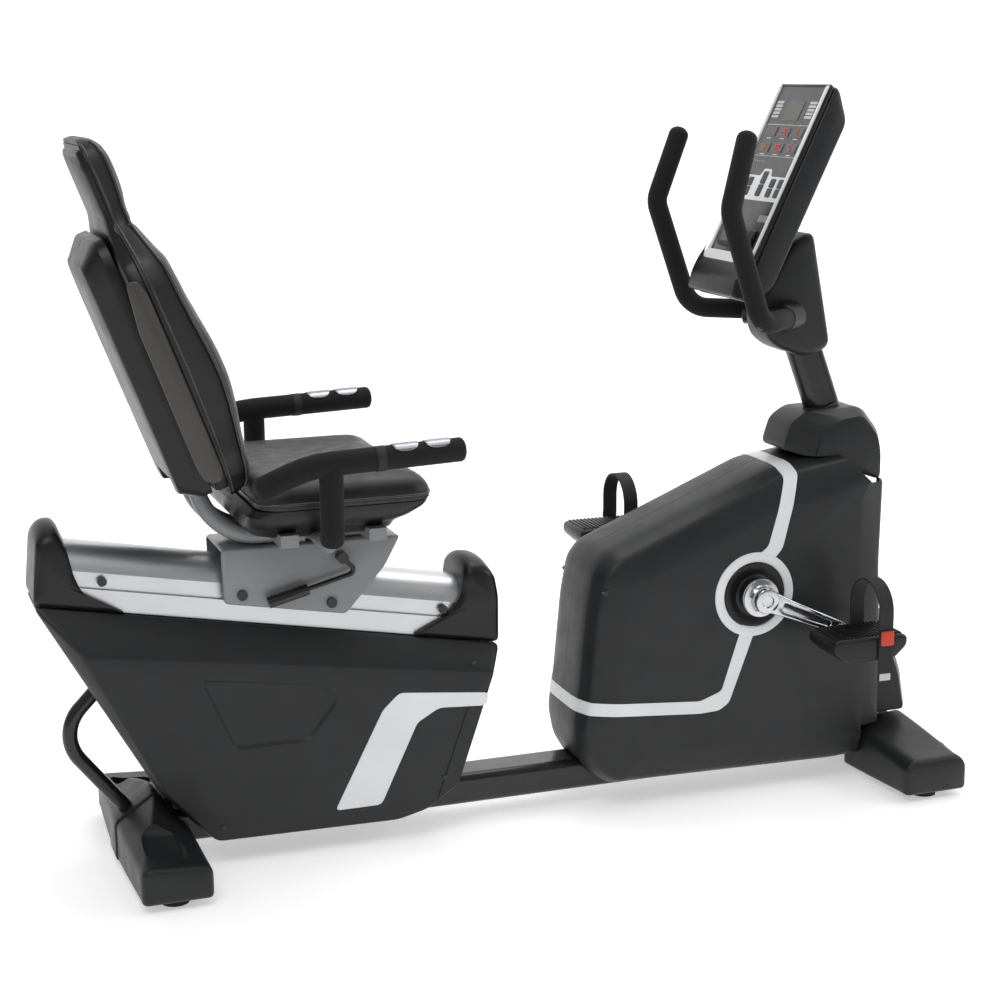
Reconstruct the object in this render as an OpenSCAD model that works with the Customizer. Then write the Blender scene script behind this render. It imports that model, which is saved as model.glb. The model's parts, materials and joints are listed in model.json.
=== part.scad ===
// Recumbent exercise bike.
// +X is forward, +Y is the rider's left and +Z is up. The origin is on the floor under the
// middle of the machine, and Y = 0 is the plane that halves it.

/* [Base] */
// Length from the rear rail cap to the front of the transport wheels
overall_l = 1688; // [1684:1:1692]
// Width over the feet
foot_span = 494; // [486:1:500]
// Height of the underside of the main beam
beam_z = 34; // [32:1:36]
// Width of the main beam
beam_w = 80; // [76:1:84]
// Height of the main beam
beam_h = 58; // [54:1:60]

/* [Rail] */
// Slope of the seat rail, falling towards the front, in degrees
rail_tilt = 10.2; // [10:0.1:10.4]
// Width of the seat rail
rail_w = 100; // [98:1:100]
// Height of the rail's channel line above the floor at the middle of its length
rail_z = 466; // [464:1:468]

/* [Drive] */
// Crank axle, distance ahead of the origin
crank_x = 450; // [448:1:452]
// Crank axle height
crank_z = 397; // [395:1:399]
// Crank length
crank_l = 170; // [165:1:172.5]
// Angle of the right crank below level, pointing forward
crank_drop = 23.4; // [20:0.1:28]
// Radius of the crank axle
axle_r = 10; // [9:0.5:10]
// Pitch radius of the drive pulley
pulley_r = 105; // [100:1:108]
// Pitch radius of the flywheel's small pulley
sprocket_r = 21; // [20:1:22]
// Radius of the flywheel
flywheel_r = 105; // [100:1:106]

/* [Covers] */
// Wall thickness of the moulded covers
wall = 3; // [2.5:0.1:3.5]
// Half width of the shrouds at their edge
shroud_half = 97; // [96:1:98]
// Half width of the front shroud round the crank
shroud_bulge = 110; // [108:1:111]

/* [Mast and console] */
// Backward lean of the mast, in degrees
mast_lean = 20.5; // [20:0.1:21]
// Backward lean of the console face, in degrees
console_lean = 25.7; // [25:0.1:26]
// Width of the console
console_w = 194; // [190:1:196]
// Radius of the handlebar tube
bar_r = 12.7; // [12:0.1:13]
// Outer radius of the foam grips
grip_r = 18.5; // [17.5:0.1:19]

/* [Seat] */
// Width of the seat cushion
seat_w = 430; // [420:2:440]
// Half distance between the armrests
arm_half = 280; // [276:1:282]
// Outer radius of the armrest foam
arm_foam_r = 20; // [19:0.5:21]
// Backward lean of the backrest, in degrees
back_lean = 20.5; // [20:0.1:21]
// Width of the backrest
back_w = 380; // [370:2:390]

/* [Hidden] */
$fn = 48;

// Clearance between fitted pieces of one body, and running clearance on a shaft
gap = 0.1;
run = 0.05;
half_l = overall_l / 2;
foot_half = foot_span / 2;
beam_top = beam_z + beam_h;

// Crossbars under the feet
rear_bar_x = -656;
front_bar_x = 768;
bar_l = 450;
bar_z = 26;
bar_h = 36;
stud_y = 200;
stud_r = 5;
pad_r = 24;

// Transport wheels
wheel_r = 25;
wheel_w = 24;
wheel_y = 150;
wheel_x = half_l - wheel_r;
wheel_z = 57;
wheel_pin_r = 5;

// Seat rail
rail_mid_x = -437;
rail_len = 790;
rail_dome = 7;
rail_low = 50;
channel_half = 14;
channel_d = 6;
rail_slope = tan(rail_tilt);

// Points on the rail
function channel_z(x) = rail_z - rail_slope * (x - rail_mid_x);
function underside_z(x) = channel_z(x) - rail_low / cos(rail_tilt);

// Carriage
plate_y = 66;
plate_t = 4;
carriage_top = 558;
roller_r = 13.5;
roller_x = [-497, -341];
bolt_r = 5;
tube_r = 15;
tube_y = 42;
tube_z = carriage_top + tube_r + 0.2;
pin_x = -400;
pin_r = 5;
lever_y = plate_y + 16;
lever_x = -323;
lever_z = 530;

// Drive train
pulley_y = 34;
pulley_t = 16;
belt_t = 3;
flywheel_x = 590;
flywheel_z = 236;
flywheel_t = 30;
spindle_r = 7.5;
small_axle_r = 5;
shell_r = 21;
bearing_r = 17.5;
bearing_w = 12;
arm_y = 151;
arm_t = 14;
pedal_pin_r = 6;
pedal_l = 150;
pedal_w = 100;
pedal_y = 170;
idler_r = 20;
yoke_x = 672;
yoke_z = 340;

// Direction of the belt's lower straight run, and the idler that rides on it
belt_d = [flywheel_x - crank_x, flywheel_z - crank_z];
belt_len = norm(belt_d);
belt_u = belt_d / belt_len;
belt_n = [-belt_u[1], belt_u[0]];
belt_cos = (pulley_r - sprocket_r) / belt_len;
belt_sin = sqrt(1 - belt_cos * belt_cos);
upper_m = belt_cos * belt_u + belt_sin * belt_n;
lower_m = belt_cos * belt_u - belt_sin * belt_n;
idler_mid = [crank_x, crank_z] / 2 + [flywheel_x, flywheel_z] / 2 + lower_m * (pulley_r + sprocket_r) / 2;
idler_c = idler_mid + lower_m * (belt_t + idler_r + 0.3);

// Mast
mast_base = [643, 0, 711];
mast_dir = [-sin(mast_lean), 0, cos(mast_lean)];
mast_l = 68;
mast_d = 42;

// Console, measured in its own frame: x runs into the housing and z up its face
console_low = [437, 0, 1003];
console_h = 349;
key_rows = [45, -3, -42, -73];
tall_key = key_rows[1];
key_u = 127;
key_h = 36;

// Backrest, measured in its own frame: z runs up the back and x points forward
back_low = [-560, 0, 668];

// ---------- shared shapes ----------

// Straight round bar from a to b
module rod(a, b, r) {
    d = b - a;
    len = norm(d);
    translate(a)
        rotate([0, acos(d[2] / len), atan2(d[1], d[0])])
            cylinder(r = r, h = len);
}

// Bent round bar: straight runs through the listed corners, each bend of radius bend.
// The straight runs are a hair thinner and reach a little into the bends.
seam = 0.3;
function unit(v) = v / norm(v);
function turn(a, b, c) = acos(unit(b - a) * unit(c - b));
function setback(pts, i, bend) =
    i == 0 || i == len(pts) - 1 ? 0 : bend * tan(turn(pts[i - 1], pts[i], pts[i + 1]) / 2);

module pipe(pts, r, bend) {
    for (i = [0 : len(pts) - 2]) {
        u = unit(pts[i + 1] - pts[i]);
        first = i == 0 ? 0 : 0.5;
        last = i == len(pts) - 2 ? 0 : 0.5;
        rod(
            pts[i] + u * (setback(pts, i, bend) - first),
            pts[i + 1] - u * (setback(pts, i + 1, bend) - last),
            r - seam
        );
    }
    for (i = [1 : len(pts) - 2]) {
        u = unit(pts[i] - pts[i - 1]);
        v = unit(pts[i + 1] - pts[i]);
        angle = turn(pts[i - 1], pts[i], pts[i + 1]);
        centre = pts[i] + unit(v - u) * bend / cos(angle / 2);
        out = unit(pts[i] - u * setback(pts, i, bend) - centre);
        axis = cross(out, u);
        multmatrix([
            [out[0], u[0], axis[0], centre[0]],
            [out[1], u[1], axis[1], centre[1]],
            [out[2], u[2], axis[2], centre[2]]
        ])
            rotate_extrude(angle = angle)
                translate([bend, 0])
                    circle(r = r);
    }
}

// Side outline [x, z] given thickness between y0 and y1
module slab(pts, y0, y1) {
    translate([0, y1, 0])
        rotate([90, 0, 0])
            linear_extrude(y1 - y0)
                polygon(pts);
}

// Round bar along Y
module pin_y(x, z, r, y0, y1) {
    translate([x, y1, z])
        rotate([90, 0, 0])
            cylinder(r = r, h = y1 - y0);
}

// A path given for the right side, carried on over the middle to the left
function left_of(p) = [p[0], -p[1], p[2]];
function across(pts) = concat([for (i = [len(pts) - 1 : -1 : 0]) pts[i]], [for (p = pts) left_of(p)]);

// Flat rectangle with round corners, centred
module round_rect(w, h, r) {
    square([w - 2 * r, h], center = true);
    square([w, h - 2 * r], center = true);
    for (x = [-1, 1], y = [-1, 1])
        translate([x * (w / 2 - r), y * (h / 2 - r)])
            circle(r = r);
}

// Box from corner a to corner b
module block(a, b) {
    translate(a)
        cube(b - a);
}

// The same shape on both sides of the machine
module both_sides() {
    children();
    mirror([0, 1, 0])
        children();
}

// Moves a closed outline inwards by d (counter-clockwise points)
function edge_normal(p, q) = let (e = q - p) [-e[1], e[0]] / norm(e);
function inset(pts, d) = [
    for (i = [0 : len(pts) - 1])
        let (
            n = len(pts),
            a = edge_normal(pts[(i + n - 1) % n], pts[i]),
            b = edge_normal(pts[i], pts[(i + 1) % n])
        )
        pts[i] + (a + b) * d / (1 + a * b)
];

// Puts children into the rail's frame: x along the rail, z up from its channel line
module on_rail() {
    translate([rail_mid_x, 0, rail_z])
        rotate([0, rail_tilt, 0])
            children();
}

// Puts children into the console's frame: x into the housing, z up the face
module on_console() {
    translate(console_low)
        rotate([0, console_lean, 0])
            children();
}

// Puts children into the backrest's frame: x forward, z up the back
module on_back() {
    translate(back_low)
        rotate([0, -back_lean, 0])
            children();
}

// ---------- frame ----------

// Hollow tube shapes of the weldment, grown by g
module frame_tubes(g) {
    translate([rear_bar_x - 20, 0, beam_z + beam_h / 2])
        rotate([90, 0, 90])
            linear_extrude(front_bar_x - rear_bar_x + 40)
                round_rect(beam_w + 2 * g, beam_h + 2 * g, 14 + g);
    for (x = [rear_bar_x, front_bar_x])
        translate([x, 0, bar_z + bar_h / 2])
            cube([50 + 2 * g, bar_l + 2 * g, bar_h + 2 * g], center = true);
    for (x = [-600, -180])
        block([x - 25 - g, -25 - g, beam_z + 6], [x + 25 + g, 25 + g, 520]);
    block([crank_x - 25 - g, -20 - g, beam_z + 6], [crank_x + 25 + g, 20 + g, crank_z]);
    translate([front_bar_x - 20, 0, beam_z + 10])
        rotate([0, -7.5, 0])
            translate([-25 - g, -25 - g, 0])
                cube([50 + 2 * g, 50 + 2 * g, 540]);
}

// Room left round the front upright and the mast socket
module upright_space() {
    translate([front_bar_x - 20, 0, beam_z + 10])
        rotate([0, -7.5, 0])
            block([-26, -26, 0], [26, 26, 541]);
    translate(mast_base)
        rotate([0, -mast_lean, 0])
            translate([0, 0, -151])
                linear_extrude(112)
                    round_rect(mast_l + 14, mast_d + 14, 25);
    translate(mast_base)
        rotate([0, -mast_lean, 0])
            translate([0, 0, -131])
                linear_extrude(200)
                    round_rect(mast_l + 1, mast_d + 1, mast_d / 2 - 0.5);
}

// Lugs, plates and sockets that are welded on
module frame_lugs() {
    pin_y(crank_x, crank_z, shell_r, -50, 30);
    for (x = [rear_bar_x, front_bar_x], y = [-1, 1])
        translate([x, y * stud_y, bar_z - 4])
            cylinder(r = 10, h = bar_h + 8);
    // Mast socket
    translate(mast_base)
        rotate([0, -mast_lean, 0])
            translate([0, 0, -150])
                linear_extrude(110)
                    round_rect(mast_l + 12, mast_d + 12, 24);
    // Flywheel plates
    block([560, -28, beam_top - 2], [620, -22, 262]);
    block([460, 56, beam_top - 8], [620, 62, 262]);
    block([460, 20, beam_top - 8], [620, 62, beam_top - 2]);
    // Lugs for the brake yoke
    for (y = [-31, 24])
        block([yoke_x - 8, y, yoke_z - 12], [yoke_x + 40, y + 7, yoke_z + 12]);
    // Transport wheel brackets
    for (s = [-1, 1], k = [-1, 1]) {
        y = s * wheel_y + k * (wheel_w / 2 + 3);
        block([front_bar_x + 20, y - 1.5, wheel_z - 20], [wheel_x + 9, y + 1.5, wheel_z + 10]);
    }
    for (s = [-1, 1])
        pin_y(wheel_x, wheel_z, wheel_pin_r, s * wheel_y - 18, s * wheel_y + 18);
}

module main_frame() {
    color("#26282a")
        difference() {
            union() {
                difference() {
                    frame_tubes(0);
                    frame_tubes(-2.5);
                }
                frame_lugs();
            }
            // Cut at the underside of the rail
            on_rail()
                translate([-500, -100, -rail_low - gap])
                    cube([1000, 200, 300]);
            pin_y(crank_x, crank_z, bearing_r, -60, 40);
            for (x = [rear_bar_x, front_bar_x], y = [-1, 1])
                translate([x, y * stud_y, 0])
                    cylinder(r = stud_r + run, h = 100);
            translate(mast_base)
                rotate([0, -mast_lean, 0])
                    translate([0, 0, -132])
                        linear_extrude(140)
                            round_rect(mast_l + 2 * gap, mast_d + 2 * gap, mast_d / 2 - 1);
            pin_y(flywheel_x, flywheel_z, spindle_r + gap, -40, 70);
            pin_y(idler_c[0], idler_c[1], small_axle_r + gap, 40, 70);
            pin_y(yoke_x, yoke_z, 4 + run, -40, 40);
        }
}

module mast() {
    color("#1c1c1d")
        difference() {
            translate(mast_base)
                rotate([0, -mast_lean, 0])
                    translate([0, 0, -130])
                        linear_extrude(400)
                            difference() {
                                round_rect(mast_l, mast_d, mast_d / 2 - 1);
                                round_rect(mast_l - 5, mast_d - 5, mast_d / 2 - 3.5);
                            }
            pipe(across([bar_path[0], bar_path[1]]), bar_r + gap + 0.1, bar_bend);
        }
}

// Cross-section of the seat rail, grown by g
module rail_outline(g) {
    translate([0, rail_dome])
        circle(r = rail_w / 2 + g);
    translate([-rail_w / 2 - g, -rail_low - g])
        square([rail_w + 2 * g, rail_low + rail_dome + g]);
}

module seat_rail() {
    color("#c9cccf")
        difference() {
            on_rail()
                translate([-rail_len / 2, 0, 0])
                    rotate([90, 0, 90])
                        linear_extrude(rail_len)
                            difference() {
                                rail_outline(0);
                                intersection() {
                                    rail_outline(-5);
                                    square([78, 200], center = true);
                                }
                                for (s = [-1, 1])
                                    translate([s * (rail_w / 2), 0])
                                        square([2 * channel_d, 2 * channel_half], center = true);
                            }
        }
}

rear_cap = [
    [-half_l, 490], [-780, 478], [-690, 461], [-762, 502], [-774, 530],
    [-785, 590], [-798, 622], [-820, 622], [-834, 606]
];
front_cap = [
    [-195, 371], [-32, 342.5], [-32, 430], [-39, 476], [-56, 497], [-84, 502],
    [-97, 488], [-102, 440], [-118, 408]
];

// End cap with a pocket for the rail
module rail_cap(pts) {
    difference() {
        slab(pts, -63, 63);
        block([-208, -27, 300], [-152, 27, 380]);
        on_rail()
            translate([-rail_len / 2 - gap, 0, 0])
                rotate([90, 0, 90])
                    linear_extrude(rail_len + 2 * gap)
                        rail_outline(gap);
    }
}

module rail_caps() {
    color("#161616") {
        rail_cap(rear_cap);
        rail_cap(front_cap);
    }
}

// Stop bolts in the rail's channels and the cover screws
stop_x = [-729, -134];
screw_spots = [[-93, 322], [-150, 116], [-303, 74], [-550, 76]];
front_screw_spots = [[156, 425], [272, 74]];
screw_len = 5;

module frame_fasteners() {
    color("#101010")
        both_sides() {
            for (x = stop_x)
                pin_y(x, channel_z(x), 8, -rail_w / 2 - 3, -rail_w / 2 + channel_d - gap);
            for (p = screw_spots)
                pin_y(p[0], p[1], 4, -shroud_half - 1, -shroud_half + 1.5);
            for (p = front_screw_spots)
                pin_y(p[0], p[1], 4, -shroud_half - screw_len, -shroud_half + 1.5);
        }
}

// ---------- shrouds ----------

rear_edge = [
    [-half_l, 487], [-653, 142], [-566, 47], [-234, 42], [-178, 56], [-118, 95],
    [-72, 227], [-32, 341]
];
// The rear shroud's lower part, below the crease
rear_lower = [
    [-775, 408], [-648, 152], [-562, 52], [-236, 47], [-182, 60], [-124, 99],
    [-79, 229], [-54, 303]
];

// Solid of the right rear shroud, moved inwards by d
module rear_solid(d) {
    hull() {
        slab(inset(rear_edge, d), -62 + d, -0.1);
        slab(inset(rear_lower, d), -shroud_half + d, -shroud_half + d + 1);
    }
}

// White strip on the rear shroud
rear_strip = [
    [-352, 78], [-268, 78], [-199, 224], [-158, 247], [-60, 241], [-60, 266],
    [-231, 283], [-262, 254]
];

module rear_shroud() {
    difference() {
        rear_solid(0);
        difference() {
            rear_solid(wall);
            block([-900, -1, 0], [0, 1, 600]);
        }
        block([-700, -2, 0], [0, 1, 600]);
        // Seat of the strip
        slab(rear_strip, -120, -shroud_half + 1.5);
        // Shallow panel on the side
        slab([[-581, 345], [-526, 213], [-394, 213], [-339, 281], [-365, 313]], -120, -shroud_half + 0.8);
        // Bolt access and the beam, the foot and the handle
        for (p = screw_spots)
            pin_y(p[0], p[1], 4 + gap, -120, -90);
        block([-700, -beam_w / 2 - 3, beam_z - 8], [0, 1, beam_top + 3]);
        slab([[-800, 10], [-640, 10], [-640, 160], [-800, 340]], -17, 1);
        rod([-777, 0, 280.4], [-727, 0, 332.3], 13.8);
        for (x = [-600, -180])
            block([x - 28, -28, 90], [x + 28, 1, 600]);
    }
}

module rear_shroud_right() {
    color("#3a3b3d")
        rear_shroud();
}

module rear_shroud_left() {
    color("#3a3b3d")
        mirror([0, 1, 0])
            rear_shroud();
}

front_edge = [
    [106, 168], [116, 114], [140, 74], [176, 48], [640, 39], [742, 46], [742, 250],
    [734, 431], [736, 584], [700, 650], [491, 624], [204, 505], [169, 491], [144, 460],
    [131, 391], [117, 245]
];
flare_edge = [[660, 122], [806, 122], [793, 200], [748, 328], [700, 340]];
flare_side = [[670, 124], [798, 124], [782, 200], [738, 326], [706, 334]];

// Solid of the right front shroud, moved inwards by d
module front_solid(d) {
    hull() {
        slab(inset(front_edge, d), -70 + d, -0.1);
        slab(inset(front_edge, d + 13), -shroud_half + d, -shroud_half + d + 1);
        slab(inset(front_edge, d + 62), -shroud_bulge + d, -shroud_bulge + d + 1);
    }
    hull() {
        slab(inset(flare_edge, d), -60 + d, -0.1);
        slab(inset(flare_side, d), -82 + d, -81 + d);
    }
}

// Space above the seam between the shroud and the mast cover
cover_seam = [
    [522, 655], [572, 638], [640, 638], [692, 588], [760, 584], [760, 800], [500, 800]
];
// Space over the front foot
foot_space = [[684, 0], [900, 0], [900, 120], [684, 114]];

// Silver band: along the panel, up to the ring and on to the top edge
band_low = [
    [60, 202], [343, 179], [382, 181], [402, 194], [442, 306],
    [412, 322], [386, 218], [343, 203], [60, 226]
];
band_top = [[455, 470], [490, 462], [506, 480], [541, 619], [532, 680], [500, 680], [512, 610], [477, 486]];
ring_out = 80;
ring_in = 61;

module band_shape() {
    slab(band_low, -130, 1);
    slab(band_top, -130, 1);
    pin_y(crank_x, crank_z, ring_out, -130, -shroud_bulge + 4);
}

module front_shroud() {
    difference() {
        front_solid(0);
        difference() {
            front_solid(wall);
            block([0, -1, 0], [900, 1, 800]);
        }
        block([150, -2, 90], [714, 1, 600]);
        // Seat of the silver band
        difference() {
            band_shape();
            front_solid(1.5);
        }
        pin_y(crank_x, crank_z, ring_in, -130, -60);
        slab(cover_seam, -130, 1);
        slab(foot_space, -130, 1);
        upright_space();
        for (p = front_screw_spots)
            pin_y(p[0], p[1], 4 + gap, -120, -80);
        block([0, -beam_w / 2 - 3, beam_z - 8], [760, 1, beam_top + 3]);
    }
}

module front_shroud_right() {
    color("#343537")
        front_shroud();
}

module front_shroud_left() {
    color("#343537")
        mirror([0, 1, 0])
            front_shroud();
}

// One side's silver band, lying in its seat
module front_band() {
    intersection() {
        difference() {
            front_solid(0);
            slab(inset(front_edge, 1.4), -62, 1);
            front_solid(1.4);
            pin_y(crank_x, crank_z, ring_in, -130, -60);
            slab(cover_seam, -130, 1);
        }
        band_shape();
    }
}

module shroud_accents() {
    color("#dfe0e0")
        both_sides() {
            front_band();
            intersection() {
                slab(inset(rear_strip, 0.2), -shroud_half, -shroud_half + 1.4);
                rear_solid(0);
            }
        }
}

module crank_covers() {
    color("#101010")
        both_sides()
            difference() {
                union() {
                    pin_y(crank_x, crank_z, ring_in - gap, -shroud_bulge - 2, -shroud_bulge + 3);
                    pin_y(crank_x, crank_z, 30, -shroud_bulge - 4, -shroud_bulge + 3);
                }
                pin_y(crank_x, crank_z, axle_r + 3, -130, -60);
            }
}

// ---------- mast cover ----------

// Right half of the mast cover, moved inwards by d
module mast_cover_half(d) {
    hull() {
        slab(
            [[524 + d, 652], [742 - d, 580], [740 - d, 636], [693 - d, 716 - d], [545 + d, 712 - d]],
            -50 + d, -0.1
        );
        slab(
            [[560 + d, 640], [728 - d, 584], [726 - d, 630], [680 - d, 712 - d], [570 + d, 709 - d]],
            -78 + d, -77 + d
        );
    }
}

module mast_cover() {
    color("#2b2c2e")
        both_sides()
            difference() {
                mast_cover_half(0);
                difference() {
                    mast_cover_half(wall);
                    block([400, -0.8, 0], [900, 1, 900]);
                }
                slab(
                    [
                        [500, 500], [800, 500], [800, 584.5], [691, 588.5],
                        [640, 638.5], [572, 638.5], [500, 664]
                    ],
                    -130, 1
                );
                translate(mast_base)
                    rotate([0, -mast_lean, 0])
                        translate([0, 0, -200])
                            linear_extrude(400)
                                round_rect(mast_l + 4, mast_d + 4, 22);
                upright_space();
            }
}

// ---------- feet ----------

// Half of a foot cover: the tall section near the beam and the low one at the end
module foot_shell(centre, end, y_in, d) {
    hull() {
        slab(inset(centre, d), -y_in - 1, -y_in);
        slab(inset(end, d), -foot_half + 10 + d, -foot_half + 30);
        slab(inset(end, d + 4), -foot_half + d, -foot_half + 9 + d);
    }
}

rear_centre = [[-724, 14], [-597, 14], [-597, 64], [-655, 130], [-724, 84]];
rear_end = [[-717, 14], [-597, 14], [-597, 62], [-607, 73], [-707, 80], [-717, 70]];
front_centre = [[688, 14], [834, 14], [834, 76], [806, 112], [688, 104]];
front_end = [[704, 14], [834, 14], [834, 66], [818, 83], [722, 83], [704, 70]];

module foot_half_cover(centre, end, y_in) {
    difference() {
        foot_shell(centre, end, y_in, 0);
        foot_shell(centre, end, y_in - 0.2, wall);
        block([-900, -foot_half + 2 * wall, 0], [900, 0, 14 + wall + 1]);
    }
}

// Band over the middle of the rear foot
module rear_collar() {
    difference() {
        slab(inset(rear_centre, -2), -32, 32);
        slab(inset(rear_centre, wall), -32 + wall, 32 - wall);
        block([rear_bar_x - 38, -33, 0], [-500, 33, beam_top + 2]);
        block([-628, -28, 80], [-500, 28, 200]);
        slab([[-760, 100], [-700, 60], [-640, 60], [-660, 160], [-760, 260]], -17, 17);
    }
}

module foot_covers() {
    color("#3c3d3f") {
        both_sides() {
            difference() {
                foot_half_cover(rear_centre, rear_end, 33);
                block([rear_bar_x - 38, -beam_w / 2 - 2, 0], [-500, 0, beam_top + 2]);
                block([-628, -28, 80], [-500, 0, 200]);
            }
            difference() {
                foot_half_cover(front_centre, front_end, 42);
                block([front_bar_x - 30, -60, 0], [front_bar_x + 30, -40, bar_z + bar_h + 3]);
                block([wheel_x - 32, -wheel_y - 20, 24], [900, -wheel_y + 20, wheel_z + wheel_r + 3]);
            }
        }
        rear_collar();
    }
}

handle_path = [[-700, 0, 98], [-812, 0, 244], [-735, 0, 324]];

module rear_handle() {
    color("#2a2a2b")
        pipe(handle_path, 13, 70);
}

// Screw-in foot with its pad on the floor
module levelling_foot(x, y) {
    translate([x, y, 0]) {
        cylinder(r = pad_r, h = 9);
        translate([0, 0, 9])
            cylinder(r = 9, h = 7);
        cylinder(r = stud_r, h = 62);
    }
}

module rear_levelling_foot_right() {
    color("#111111")
        levelling_foot(rear_bar_x, -stud_y);
}

module rear_levelling_foot_left() {
    color("#111111")
        levelling_foot(rear_bar_x, stud_y);
}

module front_levelling_foot_right() {
    color("#111111")
        levelling_foot(front_bar_x, -stud_y);
}

module front_levelling_foot_left() {
    color("#111111")
        levelling_foot(front_bar_x, stud_y);
}

module transport_wheel(s) {
    color("#2c2c2c")
        difference() {
            union() {
                pin_y(
                    wheel_x, wheel_z, wheel_r,
                    s * wheel_y - wheel_w / 2 + 3, s * wheel_y + wheel_w / 2 - 3
                );
                pin_y(wheel_x, wheel_z, wheel_r - 3, s * wheel_y - wheel_w / 2, s * wheel_y + wheel_w / 2);
            }
            pin_y(wheel_x, wheel_z, wheel_pin_r + run, s * wheel_y - 20, s * wheel_y + 20);
        }
}

module transport_wheel_right() {
    transport_wheel(-1);
}

module transport_wheel_left() {
    transport_wheel(1);
}

// ---------- drive ----------

module crank_bearings() {
    color("silver")
        for (y = [-50, 30 - bearing_w])
            difference() {
                pin_y(crank_x, crank_z, bearing_r - 0.02, y, y + bearing_w);
                pin_y(crank_x, crank_z, axle_r + run, y - 1, y + bearing_w + 1);
            }
}

module crank_axle() {
    color("silver")
        pin_y(crank_x, crank_z, axle_r, -arm_y + 4.2, arm_y - 4.2);
}

module drive_pulley() {
    color("#202020")
        difference() {
            union() {
                pin_y(crank_x, crank_z, pulley_r, pulley_y, pulley_y + pulley_t);
                pin_y(crank_x, crank_z, 22, pulley_y, pulley_y + pulley_t + 12);
            }
            pin_y(crank_x, crank_z, axle_r + 0.02, 0, 100);
            for (a = [0 : 60 : 300])
                pin_y(crank_x + 64 * cos(a), crank_z + 64 * sin(a), 22, 0, 100);
        }
}

// Loop round both pulleys, g outside their pitch radius
module belt_loop(g) {
    c1 = [crank_x, crank_z];
    c2 = [flywheel_x, flywheel_z];
    r1 = pulley_r + g;
    r2 = sprocket_r + g;
    slab(
        [c1 + upper_m * r1, c1 + lower_m * r1, c2 + lower_m * r2, c2 + upper_m * r2],
        pulley_y + 1, pulley_y + 15
    );
    pin_y(c1[0], c1[1], r1, pulley_y + 1, pulley_y + 15);
    pin_y(c2[0], c2[1], r2, pulley_y + 1, pulley_y + 15);
}

module drive_belt() {
    color("#0a0a0a")
        difference() {
            belt_loop(belt_t);
            translate([0, -1, 0])
                belt_loop(0.3);
            translate([0, 1, 0])
                belt_loop(0.3);
        }
}

module flywheel() {
    color("#55575a")
        difference() {
            union() {
                pin_y(flywheel_x, flywheel_z, flywheel_r, -flywheel_t / 2, flywheel_t / 2);
                pin_y(flywheel_x, flywheel_z, 16, -flywheel_t / 2 - 5, pulley_y + pulley_t + 4);
                pin_y(flywheel_x, flywheel_z, sprocket_r, pulley_y, pulley_y + pulley_t);
            }
            pin_y(flywheel_x, flywheel_z, spindle_r + run, -50, 80);
        }
}

module fixed_spindles() {
    color("silver") {
        pin_y(flywheel_x, flywheel_z, spindle_r, -34, 68);
        pin_y(idler_c[0], idler_c[1], small_axle_r, pulley_y - 2, 66);
    }
}

module idler_pulley() {
    color("#303030")
        difference() {
            pin_y(idler_c[0], idler_c[1], idler_r, pulley_y, pulley_y + pulley_t);
            pin_y(idler_c[0], idler_c[1], small_axle_r + run, 20, 70);
        }
}

module brake_yoke() {
    color("#8a8d90") {
        difference() {
            block([622, -23, 296], [yoke_x + 6, 23, yoke_z + 10]);
            pin_y(flywheel_x, flywheel_z, flywheel_r + 5, -flywheel_t / 2 - 2.5, flywheel_t / 2 + 2.5);
        }
        pin_y(yoke_x, yoke_z, 4, -34, 34);
    }
}

// Control board box on the beam, and the signal cable that runs inside the mast
module control_box() {
    color("#2c3a30")
        block([200, -26, beam_top + 1], [270, 14, beam_top + 58]);
    color("#050505")
        rod(mast_base + 180 * mast_dir, mast_base - 120 * mast_dir, 3);
}

// Crank arm in its own frame: axle at the origin, pedal end along +X
module crank_arm() {
    difference() {
        union() {
            hull() {
                translate([0, 0, 0])
                    cylinder(r = 20, h = arm_t, $fn = 32);
                translate([crank_l, 0, 0])
                    cylinder(r = 13, h = arm_t, $fn = 32);
            }
            translate([0, 0, -16])
                cylinder(r = 36, h = 12);
            translate([0, 0, -6])
                cylinder(r = 24, h = arm_t + 8);
        }
        translate([0, 0, -30])
            cylinder(r = axle_r + 0.02, h = 33);
        translate([0, 0, arm_t - 4])
            cylinder(r = 9, h = 20);
    }
    translate([crank_l, 0, arm_t - 2])
        cylinder(r = pedal_pin_r, h = 104);
}

// Right arm points forward and down, the left one is opposite
module crank_arms() {
    color("#d8dadc")
        for (s = [0, 1])
            translate([crank_x, 0, crank_z])
                rotate([0, crank_drop + 180 * s, 0])
                    mirror([0, s, 0])
                        translate([0, -arm_y + arm_t / 2, 0])
                            rotate([90, 0, 0])
                                crank_arm();
}

// Places a right-hand pedal piece on the right pin, and its mirror image on the left pin
module at_pedal(s) {
    translate([crank_x + s * crank_l * cos(crank_drop), 0, crank_z - s * crank_l * sin(crank_drop)])
        mirror([0, s < 0 ? 1 : 0, 0])
            children();
}

module pedal_body() {
    difference() {
        union() {
            translate([0, -pedal_y, 0])
                rotate([90, 0, 0])
                    linear_extrude(pedal_w) {
                        translate([0, -5])
                            round_rect(pedal_l, 34, 12);
                        translate([0, -20])
                            round_rect(pedal_l - 50, 26, 8);
                    }
            for (i = [-4 : 4])
                block([i * 14 - 3, -pedal_y - pedal_w + 10, 10], [i * 14 + 3, -pedal_y - 10, 14]);
        }
        pin_y(0, 0, pedal_pin_r + run, -pedal_y - pedal_w + 8, -pedal_y + 10);
    }
}

module pedal_right() {
    color("#2d2e30")
        at_pedal(1)
            pedal_body();
}

module pedal_left() {
    color("#2d2e30")
        at_pedal(-1)
            pedal_body();
}

// Strap over the foot with its buckle
strap_x = 27;
strap_w = 28;
strap_t = 3;
strap_top = 54;

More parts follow.
